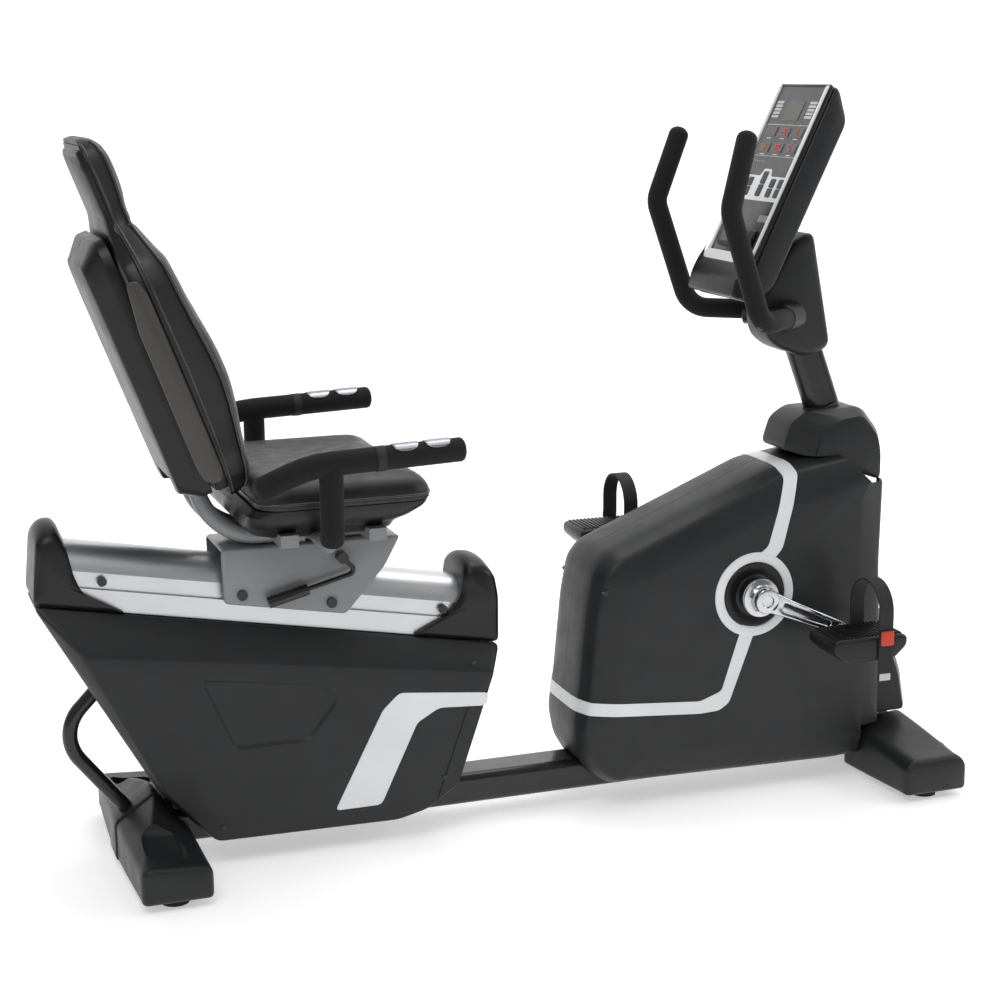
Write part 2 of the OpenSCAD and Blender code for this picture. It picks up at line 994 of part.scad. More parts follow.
module foot_strap() {
    outer = (pedal_w + 2 * strap_t + 2) / 2;
    translate([strap_x - strap_w / 2, -pedal_y - pedal_w / 2, 0])
        rotate([90, 0, 90])
            linear_extrude(strap_w)
                difference() {
                    union() {
                        translate([0, strap_top])
                            circle(r = outer);
                        translate([-outer, -8])
                            square([2 * outer, strap_top + 8]);
                        translate([-outer, -70])
                            square([strap_t, 70]);
                    }
                    translate([0, strap_top])
                        circle(r = outer - strap_t);
                    translate([-outer + strap_t, -80])
                        square([2 * outer - 2 * strap_t, strap_top + 80]);
                }
    translate([strap_x - 11, -pedal_y - pedal_w - strap_t - 7, 0])
        cube([22, 5.9, 20]);
}

module strap_right() {
    color("#1a1a1a")
        at_pedal(1)
            foot_strap();
}

module strap_left() {
    color("#1a1a1a")
        at_pedal(-1)
            foot_strap();
}

// ---------- console and handlebar ----------

console_d = 62;
console_case = [
    [4, -66], [42, -60], [console_d, -20],
    [console_d, console_h - 45], [20, console_h], [4, console_h]
];

module console_back() {
    color("#333435")
        on_console()
            difference() {
                slab(console_case, -console_w / 2, console_w / 2);
                slab(inset(console_case, wall), -console_w / 2 + wall, console_w / 2 - wall);
                block([-1, -console_w / 2 - 1, -100], [8.1, console_w / 2 + 1, console_h + 1]);
                // Way through for the neck
                block([20, -48, -100], [80, 48, 60]);
            }
}

// Bezel that carries the panel
module console_front() {
    color("#2c2d2f")
        on_console()
            difference() {
                union() {
                    block([0, -console_w / 2, 0], [8, console_w / 2, console_h]);
                    slab([[-6, -1], [-14, -40], [-8, -66], [8, -66], [8, 1], [0, 1], [0, -1]], -console_w / 2, console_w / 2);
                }
                block([-1, -console_w / 2 + 12, 14], [5, console_w / 2 - 12, console_h - 6]);
                for (y = key_rows)
                    key_block(y, 0.5, -3, 17);
            }
}

module console_trim() {
    color("#cfd1d3")
        on_console() {
            for (s = [-1, 1])
                block([-2, s * (console_w / 2 - 5) - 5, 14], [-gap, s * (console_w / 2 - 5) + 5, console_h]);
            block([-2, -console_w / 2, 0], [-gap, console_w / 2, 14 - gap]);
        }
}

// Key centred at y, grown by g; the middle one is taller
module key_block(y, g, x0, x1) {
    block([x0, y - 10 - g, key_u - g], [x1, y + 10 + g, key_u + key_h + (y == tall_key ? 13 : 0) + g]);
}

module console_panel() {
    color("#1d1f21")
        on_console()
            difference() {
                block([1, -console_w / 2 + 12.2, 14.2], [4.9, console_w / 2 - 12.2, console_h - 6.2]);
                for (y = key_rows)
                    key_block(y, 0.5, -3, 17);
                windows(0.1);
            }
}

// Display windows: one square on top and two rows of three, grown by g
module windows(g) {
    block([-1 - g * 9, -29 - g, 277 - g], [3 + g, 29 + g, 314 + g]);
    for (row = [0, 1], col = [-1, 0, 1])
        block(
            [-1 - g * 9, col * 51 - 20 - g, 214 + 31 * row - g],
            [3 + g, col * 51 + 20 + g, 231 + 31 * row + g]
        );
}

module console_windows() {
    color("#5a1512")
        on_console()
            difference() {
                windows(0);
                block([-5, -100, 0], [0.8, 100, console_h]);
            }
}

module console_key(y) {
    color("#44484b")
        on_console()
            key_block(y, 0, -1, 4.5);
}

module key_program() {
    console_key(key_rows[0]);
}

module key_level() {
    console_key(key_rows[1]);
}

module key_mode() {
    console_key(key_rows[2]);
}

module key_start() {
    console_key(key_rows[3]);
}

neck_side = [[500, 862], [526, 838], [584, 818], [634, 838], [590, 1060], [540, 1030], [486, 945]];

module neck_cover() {
    color("#303133")
        difference() {
            slab(neck_side, -45, 45);
            slab(inset(neck_side, wall), -45 + wall, 45 - wall);
            translate(mast_base)
                rotate([0, -mast_lean, 0])
                    translate([0, 0, 60])
                        linear_extrude(400)
                            round_rect(mast_l + 4, mast_d + 4, 22);
            for (s = [-1, 1])
                rod([420, s * 190, 901], [574, s * 20, 901], grip_r + 1);
            // Clears the console housing
            on_console()
                slab(
                    [[-20, -66.3], [42.3, -60.3], [console_d - 1.7, -20], [console_d - 1.7, 400], [-20, 400]],
                    -60, 60
                );
        }
}

// Path of the right half of the handlebar, from the clamp to the tip
bar_path = [[574, -26, 901], [432, -151, 901], [364, -158, 1104], [404, -140, 1234]];
bar_bend = 22;
grip_start = 66;
grip_path = [
    bar_path[1] + grip_start * unit(bar_path[0] - bar_path[1]), bar_path[1], bar_path[2],
    bar_path[3] + 6 * unit(bar_path[3] - bar_path[2])
];

module handlebar() {
    color("#1b1b1c")
        pipe(across(bar_path), bar_r, bar_bend);
}

module handlebar_grips() {
    color("#232323")
        both_sides()
            difference() {
                pipe(grip_path, grip_r, bar_bend);
                pipe(bar_path, bar_r + gap, bar_bend);
            }
}

// ---------- carriage and seat ----------

plate_side = [[-531, 558], [-528, 463], [-315, 425], [-243, 505], [-214, 558]];

module seat_carriage() {
    color("#a9abad")
        difference() {
            union() {
                both_sides()
                    slab(plate_side, -plate_y, -plate_y + plate_t);
                block([-531, -plate_y, carriage_top - plate_t], [-214, plate_y, carriage_top]);
                // Guide tube of the brake plunger
                intersection() {
                    on_rail()
                        translate([pin_x - rail_mid_x, 0, rail_w / 2 + rail_dome + 2])
                            cylinder(r = 11, h = 60);
                    block([-531, -30, 0], [-214, 30, carriage_top - 1]);
                }
            }
            for (x = roller_x)
                pin_y(x, channel_z(x), bolt_r + gap, -100, 100);
            pin_y(lever_x, lever_z, bolt_r + run, -100, 0);
            on_rail()
                translate([pin_x - rail_mid_x, 0, 40])
                    cylinder(r = pin_r + run, h = 55.5);
        }
}

module carriage_bolts() {
    color("#151515")
        both_sides()
            for (x = roller_x) {
                pin_y(x, channel_z(x), bolt_r, -plate_y - 1, -45);
                pin_y(x, channel_z(x), 9, -plate_y - 5, -plate_y - gap);
            }
}

module carriage_roller(x) {
    color("#e4e4e0")
        both_sides()
            difference() {
                pin_y(x, channel_z(x), roller_r, -plate_y + plate_t + 0.4, -45);
                pin_y(x, channel_z(x), bolt_r + run, -80, -40);
            }
}

module roller_rear() {
    carriage_roller(roller_x[0]);
}

module roller_front() {
    carriage_roller(roller_x[1]);
}

module seat_lever() {
    y = -lever_y;
    color("#121212") {
        pin_y(lever_x, lever_z, bolt_r, y - 4, -plate_y + 10);
        pin_y(lever_x, lever_z, 10, y - 4, -plate_y - 0.5);
        pipe([[lever_x, y, lever_z], [-297, y, 504], [-390, y, 480]], 4.5, 9);
        rod([-386, y, 481], [-456, y, 463], 10);
    }
}

module lock_pin() {
    color("silver")
        on_rail()
            translate([pin_x - rail_mid_x, 0, rail_w / 2 + rail_dome + 0.2])
                cylinder(r = pin_r, h = 28);
}

// Armrest path on the right, and the cross tube that carries both arms
arm_path = [[-503, -arm_half, 703], [-425, -arm_half, 735], [-172, -arm_half, 744.5]];
arm_bend = 200;
post_x = -391;
post_path = [[post_x, -arm_half, 592], [post_x, -arm_half, 738]];
arm_tube_r = 10;

// Twin bent tubes under the seat and up the back, with the armrest tubes, one weldment
module seat_frame() {
    back_dir = [-sin(back_lean), 0, cos(back_lean)];
    heel = [-532, -tube_y, tube_z];
    color("#9fa2a5") {
        for (x = [-290, -440])
            block([x - 15, -190, 582], [x + 15, 190, 603]);
        pipe(across(post_path), arm_tube_r - 0.5, 36);
        block([post_x - 8, -60, 560], [post_x + 8, 60, 590]);
        both_sides() {
            pipe([[-250, -tube_y, tube_z], heel, heel + 270 * back_dir], tube_r, 110);
            pipe(arm_path, arm_tube_r, arm_bend);
        }
    }
}

module arm_grips() {
    color("#232323")
        both_sides()
            difference() {
                union() {
                    pipe([arm_path[0] - [5, 0, 4], arm_path[1], arm_path[2] + [6, 0, 0]], arm_foam_r, arm_bend);
                    rod([post_x, -arm_half, 630], [post_x, -arm_half, 730], arm_foam_r - 1);
                }
                pipe(arm_path, arm_tube_r + gap, arm_bend);
                rod([post_x, -arm_half, 620], [post_x, -arm_half, 737], arm_tube_r + gap - 0.5);
            }
}

module pulse_sensors() {
    color("#d0d2d4")
        for (s = [-1, 1], k = [-1, 1])
            translate([-242 + k * 27, s * arm_half, 744.7 + arm_foam_r])
                linear_extrude(2)
                    round_rect(44, 24, 11);
}

module seat_pan() {
    color("#1b1b1c")
        hull() {
            block([-460, -175, 604], [-250, 175, 606]);
            block([-492, -seat_w / 2 + 6, 634], [-200, seat_w / 2 - 6, 648]);
        }
}

module seat_cushion() {
    color("#2c2c2d")
        hull() {
            block([-494, -seat_w / 2, 648.2], [-196, seat_w / 2, 672]);
            block([-455, -seat_w / 2 + 18, 648.2], [-214, seat_w / 2 - 18, 702]);
        }
}

// Outline of the backrest seen from the front [y, u]
function back_outline(g) = [
    [-back_w / 2 + g + 26, g], [back_w / 2 - g - 26, g], [back_w / 2 - g, 60], [back_w / 2 - g, 380],
    [back_w / 2 - 30 - g, 425], [122 - g, 480], [116 - g, 575 - g], [92 - g, 602 - g],
    [-92 + g, 602 - g], [-116 + g, 575 - g], [-122 + g, 480], [-back_w / 2 + 30 + g, 425],
    [-back_w / 2 + g, 380], [-back_w / 2 + g, 60]
];

// Panel standing in the backrest's frame between depths w0 and w1
module back_panel(pts, w0, w1) {
    translate([w0, 0, 0])
        rotate([90, 0, 90])
            linear_extrude(w1 - w0)
                polygon(pts);
}

module back_shell() {
    color("#7b7874")
        on_back()
            difference() {
                back_panel(back_outline(4), 0, 34);
                back_panel(back_outline(8), -1, 31);
                // Way in for the two back tubes
                block([-2, -tube_y - 18, 0], [9, tube_y + 18, 12]);
            }
}

module back_cushion() {
    color("#2a2a2b")
        on_back()
            difference() {
                back_panel(back_outline(0), 34.2, 98);
                // Hollow between the side bolsters
                translate([150, 0, 40])
                    cylinder(r = 90, h = 380);
                // Thinner headrest
                block([74, -150, 470], [130, 150, 640]);
            }
}

// Both halves of an outline given by its right half
function full_outline(half) = concat(half, [for (i = [len(half) - 1 : -1 : 0]) [-half[i][0], half[i][1]]]);

module back_cover() {
    color("#252627")
        on_back()
            difference() {
                hull() {
                    back_panel(full_outline([[120, -10], [132, 20], [132, 400], [110, 450]]), -8, -4);
                    back_panel(full_outline([[96, 6], [108, 30], [108, 380], [90, 420]]), -40, -36);
                }
                hull() {
                    back_panel(full_outline([[116, -6], [128, 22], [128, 398], [108, 446]]), -8, -3);
                    back_panel(full_outline([[93, 10], [104, 34], [104, 376], [88, 416]]), -37, -33);
                }
                block([-60, -tube_y - 18, -40], [10, tube_y + 18, 30]);
            }
}

main_frame();
mast();
seat_rail();
rail_caps();
frame_fasteners();
rear_shroud_right();
rear_shroud_left();
front_shroud_right();
front_shroud_left();
shroud_accents();
crank_covers();
mast_cover();
foot_covers();
rear_handle();
crank_bearings();
drive_belt();
fixed_spindles();
control_box();
console_back();
console_front();
console_trim();
console_panel();
console_windows();
neck_cover();
handlebar();
handlebar_grips();
brake_yoke();
key_program();
key_level();
key_mode();
key_start();
seat_carriage();
carriage_bolts();
seat_frame();
seat_pan();
seat_cushion();
arm_grips();
pulse_sensors();
back_shell();
back_cover();
back_cushion();
roller_rear();
roller_front();
seat_lever();
lock_pin();
crank_axle();
drive_pulley();
crank_arms();
pedal_right();
pedal_left();
strap_right();
strap_left();
flywheel();
idler_pulley();
transport_wheel_right();
transport_wheel_left();
rear_levelling_foot_right();
rear_levelling_foot_left();
front_levelling_foot_right();
front_levelling_foot_left();
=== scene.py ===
import json
import math

import bmesh
import bpy
from mathutils import Matrix, Vector


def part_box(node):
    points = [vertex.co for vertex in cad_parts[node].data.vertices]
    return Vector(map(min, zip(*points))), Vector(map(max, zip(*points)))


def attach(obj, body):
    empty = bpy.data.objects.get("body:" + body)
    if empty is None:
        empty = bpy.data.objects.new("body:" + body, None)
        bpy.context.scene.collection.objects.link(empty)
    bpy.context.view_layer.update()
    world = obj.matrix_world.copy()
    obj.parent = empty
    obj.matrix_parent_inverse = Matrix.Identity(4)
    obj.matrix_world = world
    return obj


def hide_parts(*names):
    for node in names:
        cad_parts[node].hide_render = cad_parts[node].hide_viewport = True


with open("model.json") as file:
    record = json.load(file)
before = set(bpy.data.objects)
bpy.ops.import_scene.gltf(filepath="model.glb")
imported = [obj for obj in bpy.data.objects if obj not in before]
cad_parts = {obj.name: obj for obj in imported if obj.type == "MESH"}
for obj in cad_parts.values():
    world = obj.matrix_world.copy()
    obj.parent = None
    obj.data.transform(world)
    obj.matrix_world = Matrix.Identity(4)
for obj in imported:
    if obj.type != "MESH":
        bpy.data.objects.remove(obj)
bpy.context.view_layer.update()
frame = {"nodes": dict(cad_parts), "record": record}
NODES = frame["nodes"]
TURN = 2 * math.pi


def add_object(name, data):
    obj = bpy.data.objects.new(name, data)
    bpy.context.scene.collection.objects.link(obj)
    return obj


# ---------------------------------------------------------------- materials

def new_material(name):
    """An empty node material with its shader; returns (material, nodes, links, shader)."""
    m = bpy.data.materials.new(name)
    m.use_nodes = True
    tree = m.node_tree
    shader = tree.nodes["Principled BSDF"]
    return m, tree.nodes, tree.links, shader


def fill(node, values):
    """Sets constants on the node's own sockets."""
    for socket, value in values.items():
        node.inputs[socket].default_value = value


def noise(nodes, links, scale, detail=3.0, stretch=(1, 1, 1)):
    """Noise in object coordinates, scale in features per metre."""
    coords = nodes.new("ShaderNodeTexCoord")
    mapping = nodes.new("ShaderNodeMapping")
    mapping.inputs["Scale"].default_value = stretch
    tex = nodes.new("ShaderNodeTexNoise")
    fill(tex, {"Scale": scale, "Detail": detail, "Roughness": 0.5})
    links.new(coords.outputs["Object"], mapping.inputs["Vector"])
    links.new(mapping.outputs["Vector"], tex.inputs["Vector"])
    return tex.outputs["Fac"]


def remap(nodes, links, value, low, high, src=(0.3, 0.7)):
    """Value taken from the range src to the range low to high."""
    node = nodes.new("ShaderNodeMapRange")
    fill(node, {"From Min": src[0], "From Max": src[1], "To Min": low, "To Max": high})
    links.new(value, node.inputs["Value"])
    return node.outputs["Result"]


def mix_colour(nodes, links, fac, a, b):
    """Colour between a and b; each of the three is a constant or a socket."""
    node = nodes.new("ShaderNodeMix")
    node.data_type = "RGBA"
    for socket, value in (("A", a), ("B", b)):
        target = [i for i in node.inputs if i.name == socket and i.type == "RGBA"][0]
        if isinstance(value, bpy.types.NodeSocket):
            links.new(value, target)
        else:
            target.default_value = (*value, 1)
    if isinstance(fac, bpy.types.NodeSocket):
        links.new(fac, node.inputs["Factor"])
    else:
        node.inputs["Factor"].default_value = fac
    return [o for o in node.outputs if o.type == "RGBA"][0]


def bump(nodes, links, heights, shader, normal=None):
    """Chains bumps onto the shader: heights lists (socket, strength, distance in metres)."""
    for value, strength, distance in heights:
        node = nodes.new("ShaderNodeBump")
        fill(node, {"Strength": strength, "Distance": distance})
        links.new(value, node.inputs["Height"])
        if normal is not None:
            links.new(normal, node.inputs["Normal"])
        normal = node.outputs["Normal"]
    links.new(normal, shader.inputs["Normal"])


def edge_mask(nodes, links, radius):
    """(rounded normal, mask that is 1 on sharp edges)."""
    bevel = nodes.new("ShaderNodeBevel")
    bevel.samples = 4
    bevel.inputs["Radius"].default_value = radius
    geo = nodes.new("ShaderNodeNewGeometry")
    dot = nodes.new("ShaderNodeVectorMath")
    dot.operation = "DOT_PRODUCT"
    links.new(bevel.outputs["Normal"], dot.inputs[0])
    links.new(geo.outputs["Normal"], dot.inputs[1])
    mask = remap(nodes, links, dot.outputs["Value"], 1.0, 0.0, (0.80, 0.995))
    return bevel.outputs["Normal"], mask


def tint(colour, k):
    """Colour made k times as bright."""
    return tuple(min(1.0, c * k) for c in colour)


def moulded(name, colour, rough=0.5, grain=1500, depth=0.00004, edge=0.0012, edge_highlight=1.5,
            coat=0.0):
    """Moulded plastic or powder coat: fine grain, cloudy gloss, edges lightened in patches as a
    painted highlight.
    """
    m, n, l, s = new_material(name)
    cloud = noise(n, l, 9, 4)
    fine = noise(n, l, grain, 2)
    base = mix_colour(n, l, cloud, tint(colour, 0.90), tint(colour, 1.12))
    normal, mask = edge_mask(n, l, edge)
    # painted highlight: the edge mask times patchy noise lifts sharp edges towards a lighter tint
    # of the colour
    painted_highlight = n.new("ShaderNodeMath")
    painted_highlight.operation = "MULTIPLY"
    l.new(mask, painted_highlight.inputs[0])
    l.new(remap(n, l, noise(n, l, 60, 4), 0.1, 1.0), painted_highlight.inputs[1])
    base = mix_colour(n, l, painted_highlight.outputs[0], base, tint(colour, edge_highlight))
    l.new(base, s.inputs["Base Color"])
    l.new(remap(n, l, noise(n, l, 26, 5), rough - 0.05, rough + 0.06), s.inputs["Roughness"])
    fill(s, {"Specular IOR Level": 0.36, "Coat Weight": coat, "Coat Roughness": 0.12})
    bump(n, l, [(fine, 0.35, depth)], s, normal)
    return m


def metal(name, colour, rough=0.3, stretch=(1, 1, 1), scale=500, depth=0.00002, edge=0.0006,
          vary=0.1):
    """Bare or plated metal; stretch runs the brushing along an axis."""
    m, n, l, s = new_material(name)
    s.inputs["Metallic"].default_value = 1.0
    lines = noise(n, l, scale, 3, stretch)
    cloud = noise(n, l, 12, 3)
    base = mix_colour(n, l, cloud, tint(colour, 0.93), tint(colour, 1.05))
    l.new(base, s.inputs["Base Color"])
    l.new(remap(n, l, lines, rough - vary * 0.5, rough + vary * 0.5), s.inputs["Roughness"])
    bump(n, l, [(lines, 0.3, depth)], s, edge_mask(n, l, edge)[0])
    return m


def upholstery(name, colour, rough=0.42):
    """Grained vinyl: cells 1.3 mm across, cloudy gloss and soft wrinkles."""
    m, n, l, s = new_material(name)
    coords = n.new("ShaderNodeTexCoord")
    cells = n.new("ShaderNodeTexVoronoi")
    cells.feature = "DISTANCE_TO_EDGE"
    cells.inputs["Scale"].default_value = 750
    l.new(coords.outputs["Object"], cells.inputs["Vector"])
    pores = remap(n, l, cells.outputs["Distance"], 0.0, 1.0, (0.0, 0.25))
    base = mix_colour(n, l, noise(n, l, 14, 4), tint(colour, 0.8), tint(colour, 1.2))
    l.new(base, s.inputs["Base Color"])
    l.new(remap(n, l, noise(n, l, 40, 4), rough - 0.07, rough + 0.08), s.inputs["Roughness"])
    bump(n, l, [(noise(n, l, 22, 3), 0.25, 0.0012), (pores, 0.4, 0.00012)], s)
    return m


def foam(name, colour):
    """Closed-cell foam sleeve: open skin with fine pits."""
    m, n, l, s = new_material(name)
    base = mix_colour(n, l, noise(n, l, 900, 3), tint(colour, 0.7), tint(colour, 1.5))
    l.new(base, s.inputs["Base Color"])
    fill(s, {"Roughness": 0.85, "Sheen Weight": 0.05, "Specular IOR Level": 0.25,
            "Sheen Roughness": 0.5})
    pits = noise(n, l, 1600, 2)
    bump(n, l, [(noise(n, l, 120, 3), 0.3, 0.0004), (pits, 0.5, 0.00015)], s)
    return m


def glossy(name, colour, rough):
    """Smooth film or window with a clear coat."""
    # 1.2 is how far the painted edge highlight lightens the colour
    return moulded(name, colour, rough, 400, 0.00001, 0.0006, 1.2, coat=0.6)


def lit(name, colour):
    """Lit segments behind a tinted window."""
    m = glossy(name, tint(colour, 0.3), 0.2)
    s = m.node_tree.nodes["Principled BSDF"]
    fill(s, {"Emission Color": (*colour, 1), "Emission Strength": 0.35})
    return m


# in moulded finishes the number after the edge radius lightens sharp edges as a painted highlight
MATERIALS = {  # finish of each material slot, and a few extra finishes for small pieces
    "frame_black": (moulded, "powder_black", (0.010, 0.010, 0.011), 0.30, 1100, 0.00005, 0.0012,
        1.6, 0.3),
    "rail_aluminium": (metal, "brushed_aluminium", (0.62, 0.63, 0.65), 0.34, (0.02, 1, 1), 900,
        0.00003),
    "shroud_grey": (moulded, "satin_charcoal", (0.014, 0.0148, 0.016), 0.42, 1500, 0.00005,
        0.0020, 1.7),
    "black_plastic": (moulded, "satin_black", (0.007, 0.007, 0.0075), 0.36, 1500, 0.00004,
        0.0018, 1.8),
    "silver_trim": (moulded, "silver_lacquer", (0.76, 0.77, 0.78), 0.34, 1300, 0.00002, 0.0010,
        1.1, 0.2),
    "steel": (metal, "machined_steel", (0.56, 0.56, 0.57), 0.32),
    "chrome": (metal, "chrome_plate", (0.56, 0.57, 0.59), 0.13, (1, 1, 1), 60, 0.00001, 0.0010,
        0.04),
    "cast_iron": (metal, "turned_iron", (0.30, 0.30, 0.31), 0.45),
    "rubber": (moulded, "black_rubber", (0.02, 0.02, 0.02), 0.7, 900, 0.00008, 0.0008, 1.8),
    "foam": (foam, "foam_black", (0.009, 0.009, 0.0095)),
    "vinyl": (upholstery, "grained_vinyl", (0.0075, 0.0075, 0.008)),
    "carriage_silver": (moulded, "silver_grey_paint", (0.23, 0.235, 0.24), 0.33, 1700, 0.00002,
        0.0012, 1.3, 0.3),
    "back_plastic": (moulded, "warm_grey_plastic", (0.060, 0.057, 0.052), 0.30, 1300, 0.00004,
        0.0018, 1.5),
    "console_panel": (glossy, "console_film", (0.005, 0.0055, 0.006), 0.28),
    "window": (glossy, "red_window", (0.030, 0.014, 0.012), 0.1),
    "key_grey": (moulded, "key_grey", (0.055, 0.06, 0.062), 0.5),
    "nylon": (moulded, "white_nylon", (0.75, 0.74, 0.70), 0.4),
    # piping: lighter than the vinyl, with the strongest edge lift, as a painted highlight on the
    # sewn bead
    "piping": (moulded, "vinyl_piping", (0.030, 0.030, 0.031), 0.25, 700, 0.00006, 0.0008, 2.2,
        0.4),
    "plate": (metal, "sensor_plate", (0.30, 0.30, 0.32), 0.26, (1, 1, 1), 700, 0.00001, 0.0006,
        0.06),
    "label": (moulded, "printed_white", (0.55, 0.56, 0.56), 0.5),
    "accent": (moulded, "orange_buckle", (0.55, 0.045, 0.02), 0.35),
    "olive": (glossy, "olive_window", (0.040, 0.034, 0.018), 0.16),
    "lit": (lit, "lit_segments", (1.0, 0.09, 0.05)),
    "board_box": (moulded, "board_box_grey", (0.03, 0.04, 0.033), 0.5),
}
made = {}


def material(slot):
    if slot not in made:
        kind, *values = MATERIALS[slot]
        made[slot] = kind(*values)
    return made[slot]


def dress_cad_nodes():
    """Every CAD node gets its record slot's finish."""
    for entry in frame["record"]["subparts"]:
        obj = NODES[entry["node"]]
        m = material(entry["material_slot"])
        if not obj.material_slots:
            obj.data.materials.append(m)
        for s in obj.material_slots:
            s.link = "OBJECT"
            s.material = m


# ---------------------------------------------------------------- shapes (millimetres, row frame)

MM = 0.001
BACK_LOW, BACK_LEAN = (-560, 0, 668), 20.5
CONSOLE_LOW, CONSOLE_LEAN = (437, 0, 1003), 25.7


def on_back(x, y, z):
    """Backrest frame to row frame: z runs up the back, x points forward."""
    c, s = math.cos(math.radians(BACK_LEAN)), math.sin(math.radians(BACK_LEAN))
    return (BACK_LOW[0] + x * c - z * s, y, BACK_LOW[2] + x * s + z * c)


def on_console(x, y, z):
    """Console frame to row frame: x runs into the housing, z up its face."""
    c, s = math.cos(math.radians(CONSOLE_LEAN)), math.sin(math.radians(CONSOLE_LEAN))
    return (CONSOLE_LOW[0] + x * c + z * s, y, CONSOLE_LOW[2] - x * s + z * c)


def box_of(node):
    """Lowest and highest corner of a CAD node in mm."""
    return [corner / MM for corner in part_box(node)]


def centre_of(node):
    return sum(box_of(node), Vector()) / 2


def angles(n):
    return [TURN * k / n for k in range(n)]


def rounded(points, cut, n=4):
    """Closed outline with each corner swept round, starting cut before it."""
    out = []
    count = len(points)
    for i, p in enumerate(points):
        p = Vector(p)
        a, b = Vector(points[i - 1]), Vector(points[(i + 1) % count])
        ca = min(cut, 0.45 * (a - p).length)
        cb = min(cut, 0.45 * (b - p).length)
        start, end = p + (a - p).normalized() * ca, p + (b - p).normalized() * cb
        for k in range(n + 1):
            t = k / n
            out.append(start * (1 - t) ** 2 + p * 2 * t * (1 - t) + end * t * t)
    return out


def shrink(points, d, centre):
    """Outline moved towards centre so that its edges move by about d."""
    c = Vector(centre)
    out = []
    count = len(points)
    for i, p in enumerate(points):
        e = (Vector(points[(i + 1) % count]) - Vector(points[i - 1])).normalized()
        r = Vector(p) - c
        h = max(abs(r.x * e.y - r.y * e.x), 0.25 * r.length, 1e-6)
        out.append(c + r * (1 - min(d / h, 0.97)))
    return out


def loft(rings, caps=(True, True)):
    """Vertices and faces of a skin over rings of equal length."""
    n = len(rings[0])
    verts = [tuple(p) for ring in rings for p in ring]
    faces = []
    for k in range(len(rings) - 1):
        for i in range(n):
            j = (i + 1) % n
            faces.append((k * n + i, k * n + j, (k + 1) * n + j, (k + 1) * n + i))
    if caps[0]:
        faces.append(tuple(reversed(range(n))))
    if caps[1]:
        faces.append(tuple(range((len(rings) - 1) * n, len(rings) * n)))
    return verts, faces


def make(name, shape, sharp=32):
    """Mesh object from (vertices in mm, faces), outward normals, smooth but for sharp edges."""
    verts, faces = shape
    mesh = bpy.data.meshes.new(name)
    mesh.from_pydata([Vector(v) * MM for v in verts], [], faces)
    obj = add_object(name, mesh)
    finish_mesh(obj, sharp)
    return obj


def finish_mesh(obj, sharp=32):
    """Welds doubles, turns normals outwards and marks edges over sharp degrees."""
    bm = bmesh.new()
    bm.from_mesh(obj.data)
    bmesh.ops.remove_doubles(bm, verts=bm.verts, dist=1e-6)
    bmesh.ops.recalc_face_normals(bm, faces=bm.faces)
    for f in bm.faces:
        f.smooth = True
    bm.to_mesh(obj.data)
    bm.free()
    obj.data.set_sharp_from_angle(angle=math.radians(sharp))


def apply_modifiers(obj):
    graph = bpy.context.evaluated_depsgraph_get()
    obj.data = bpy.data.meshes.new_from_object(obj.evaluated_get(graph))
    obj.modifiers.clear()


def boolean(obj, shape, kind="DIFFERENCE"):
    """Cuts obj by a shape, or unites or intersects it with the shape."""
    tool = make("tool", shape)
    mod = obj.modifiers.new("cut", "BOOLEAN")
    mod.operation = kind
    mod.solver = "EXACT"
    mod.object = tool
    apply_modifiers(obj)
    bpy.data.objects.remove(tool)
    finish_mesh(obj)


def join(name, objs):
    """One object from several, which are used up."""
    bm = bmesh.new()
    for o in objs:
        bm.from_mesh(o.data)
    mesh = bpy.data.meshes.new(name)
    bm.to_mesh(mesh)
    bm.free()
    for o in objs:
        bpy.data.objects.remove(o)
    return add_object(name, mesh)


def make_all(name, shapes):
    return join(name, [make("part", shape) for shape in shapes])


def place(obj, body, slot_name, *nodes, look=None):
    """Gives a piece its finish and body, and hides the CAD nodes that it stands for."""
    obj.data.materials.clear()
    obj.data.materials.append(material(look or slot_name))
    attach(obj, body)
    if nodes:
        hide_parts(*nodes)


def place_pair(obj, body, slot_name, *nodes, look=None):
    """Places a right-hand piece, and its mirror image on the left."""
    other = add_object(obj.name.replace("right", "left"), obj.data.copy())
    for v in other.data.vertices:
        v.co.y = -v.co.y
    other.data.flip_normals()
    place(other, body, slot_name, *(n.replace("right", "left") for n in nodes), look=look)
    place(obj, body, slot_name, *nodes, look=look)


def rect(a0, a1, z0, z1):
    return [(a0, z0), (a1, z0), (a1, z1), (a0, z1)]


def at_y(outline, y):
    return [(p[0], y, p[1]) for p in outline]


def prism(outline, y0, y1):
    return loft([at_y(outline, y0), at_y(outline, y1)])


def pillow(outline, y0, y1, edge, corner, centre=None, put=None, n=4):
    """Slab from y0 to y1 with round corners and edges; put maps its own frame to the row's."""
    line = rounded(outline, corner, n)
    c = centre or tuple(sum(p[k] for p in outline) / len(outline) for k in (0, 1))
    steps = [(1.0, 0.0), (0.62, 0.08), (0.3, 0.3), (0.08, 0.62), (0.0, 1.0)]
    rings = [at_y(shrink(line, edge * d, c), y0 + edge * h) for d, h in steps]
    rings += [at_y(shrink(line, edge * d, c), y1 - edge * h) for d, h in reversed(steps)]
    if put:
        rings = [[put(*p) for p in ring] for ring in rings]
    return loft(rings)


def box_shape(lo, hi, edge=0.0, put=None):
    (x0, y0, z0), (x1, y1, z1) = lo, hi
    outline = rect(x0, x1, z0, z1)
    if edge:
        return pillow(outline, y0, y1, edge, edge * 1.4, n=2)
    rings = [at_y(outline, y0), at_y(outline, y1)]
    if put:
        rings = [[put(*p) for p in ring] for ring in rings]
    return loft(rings)


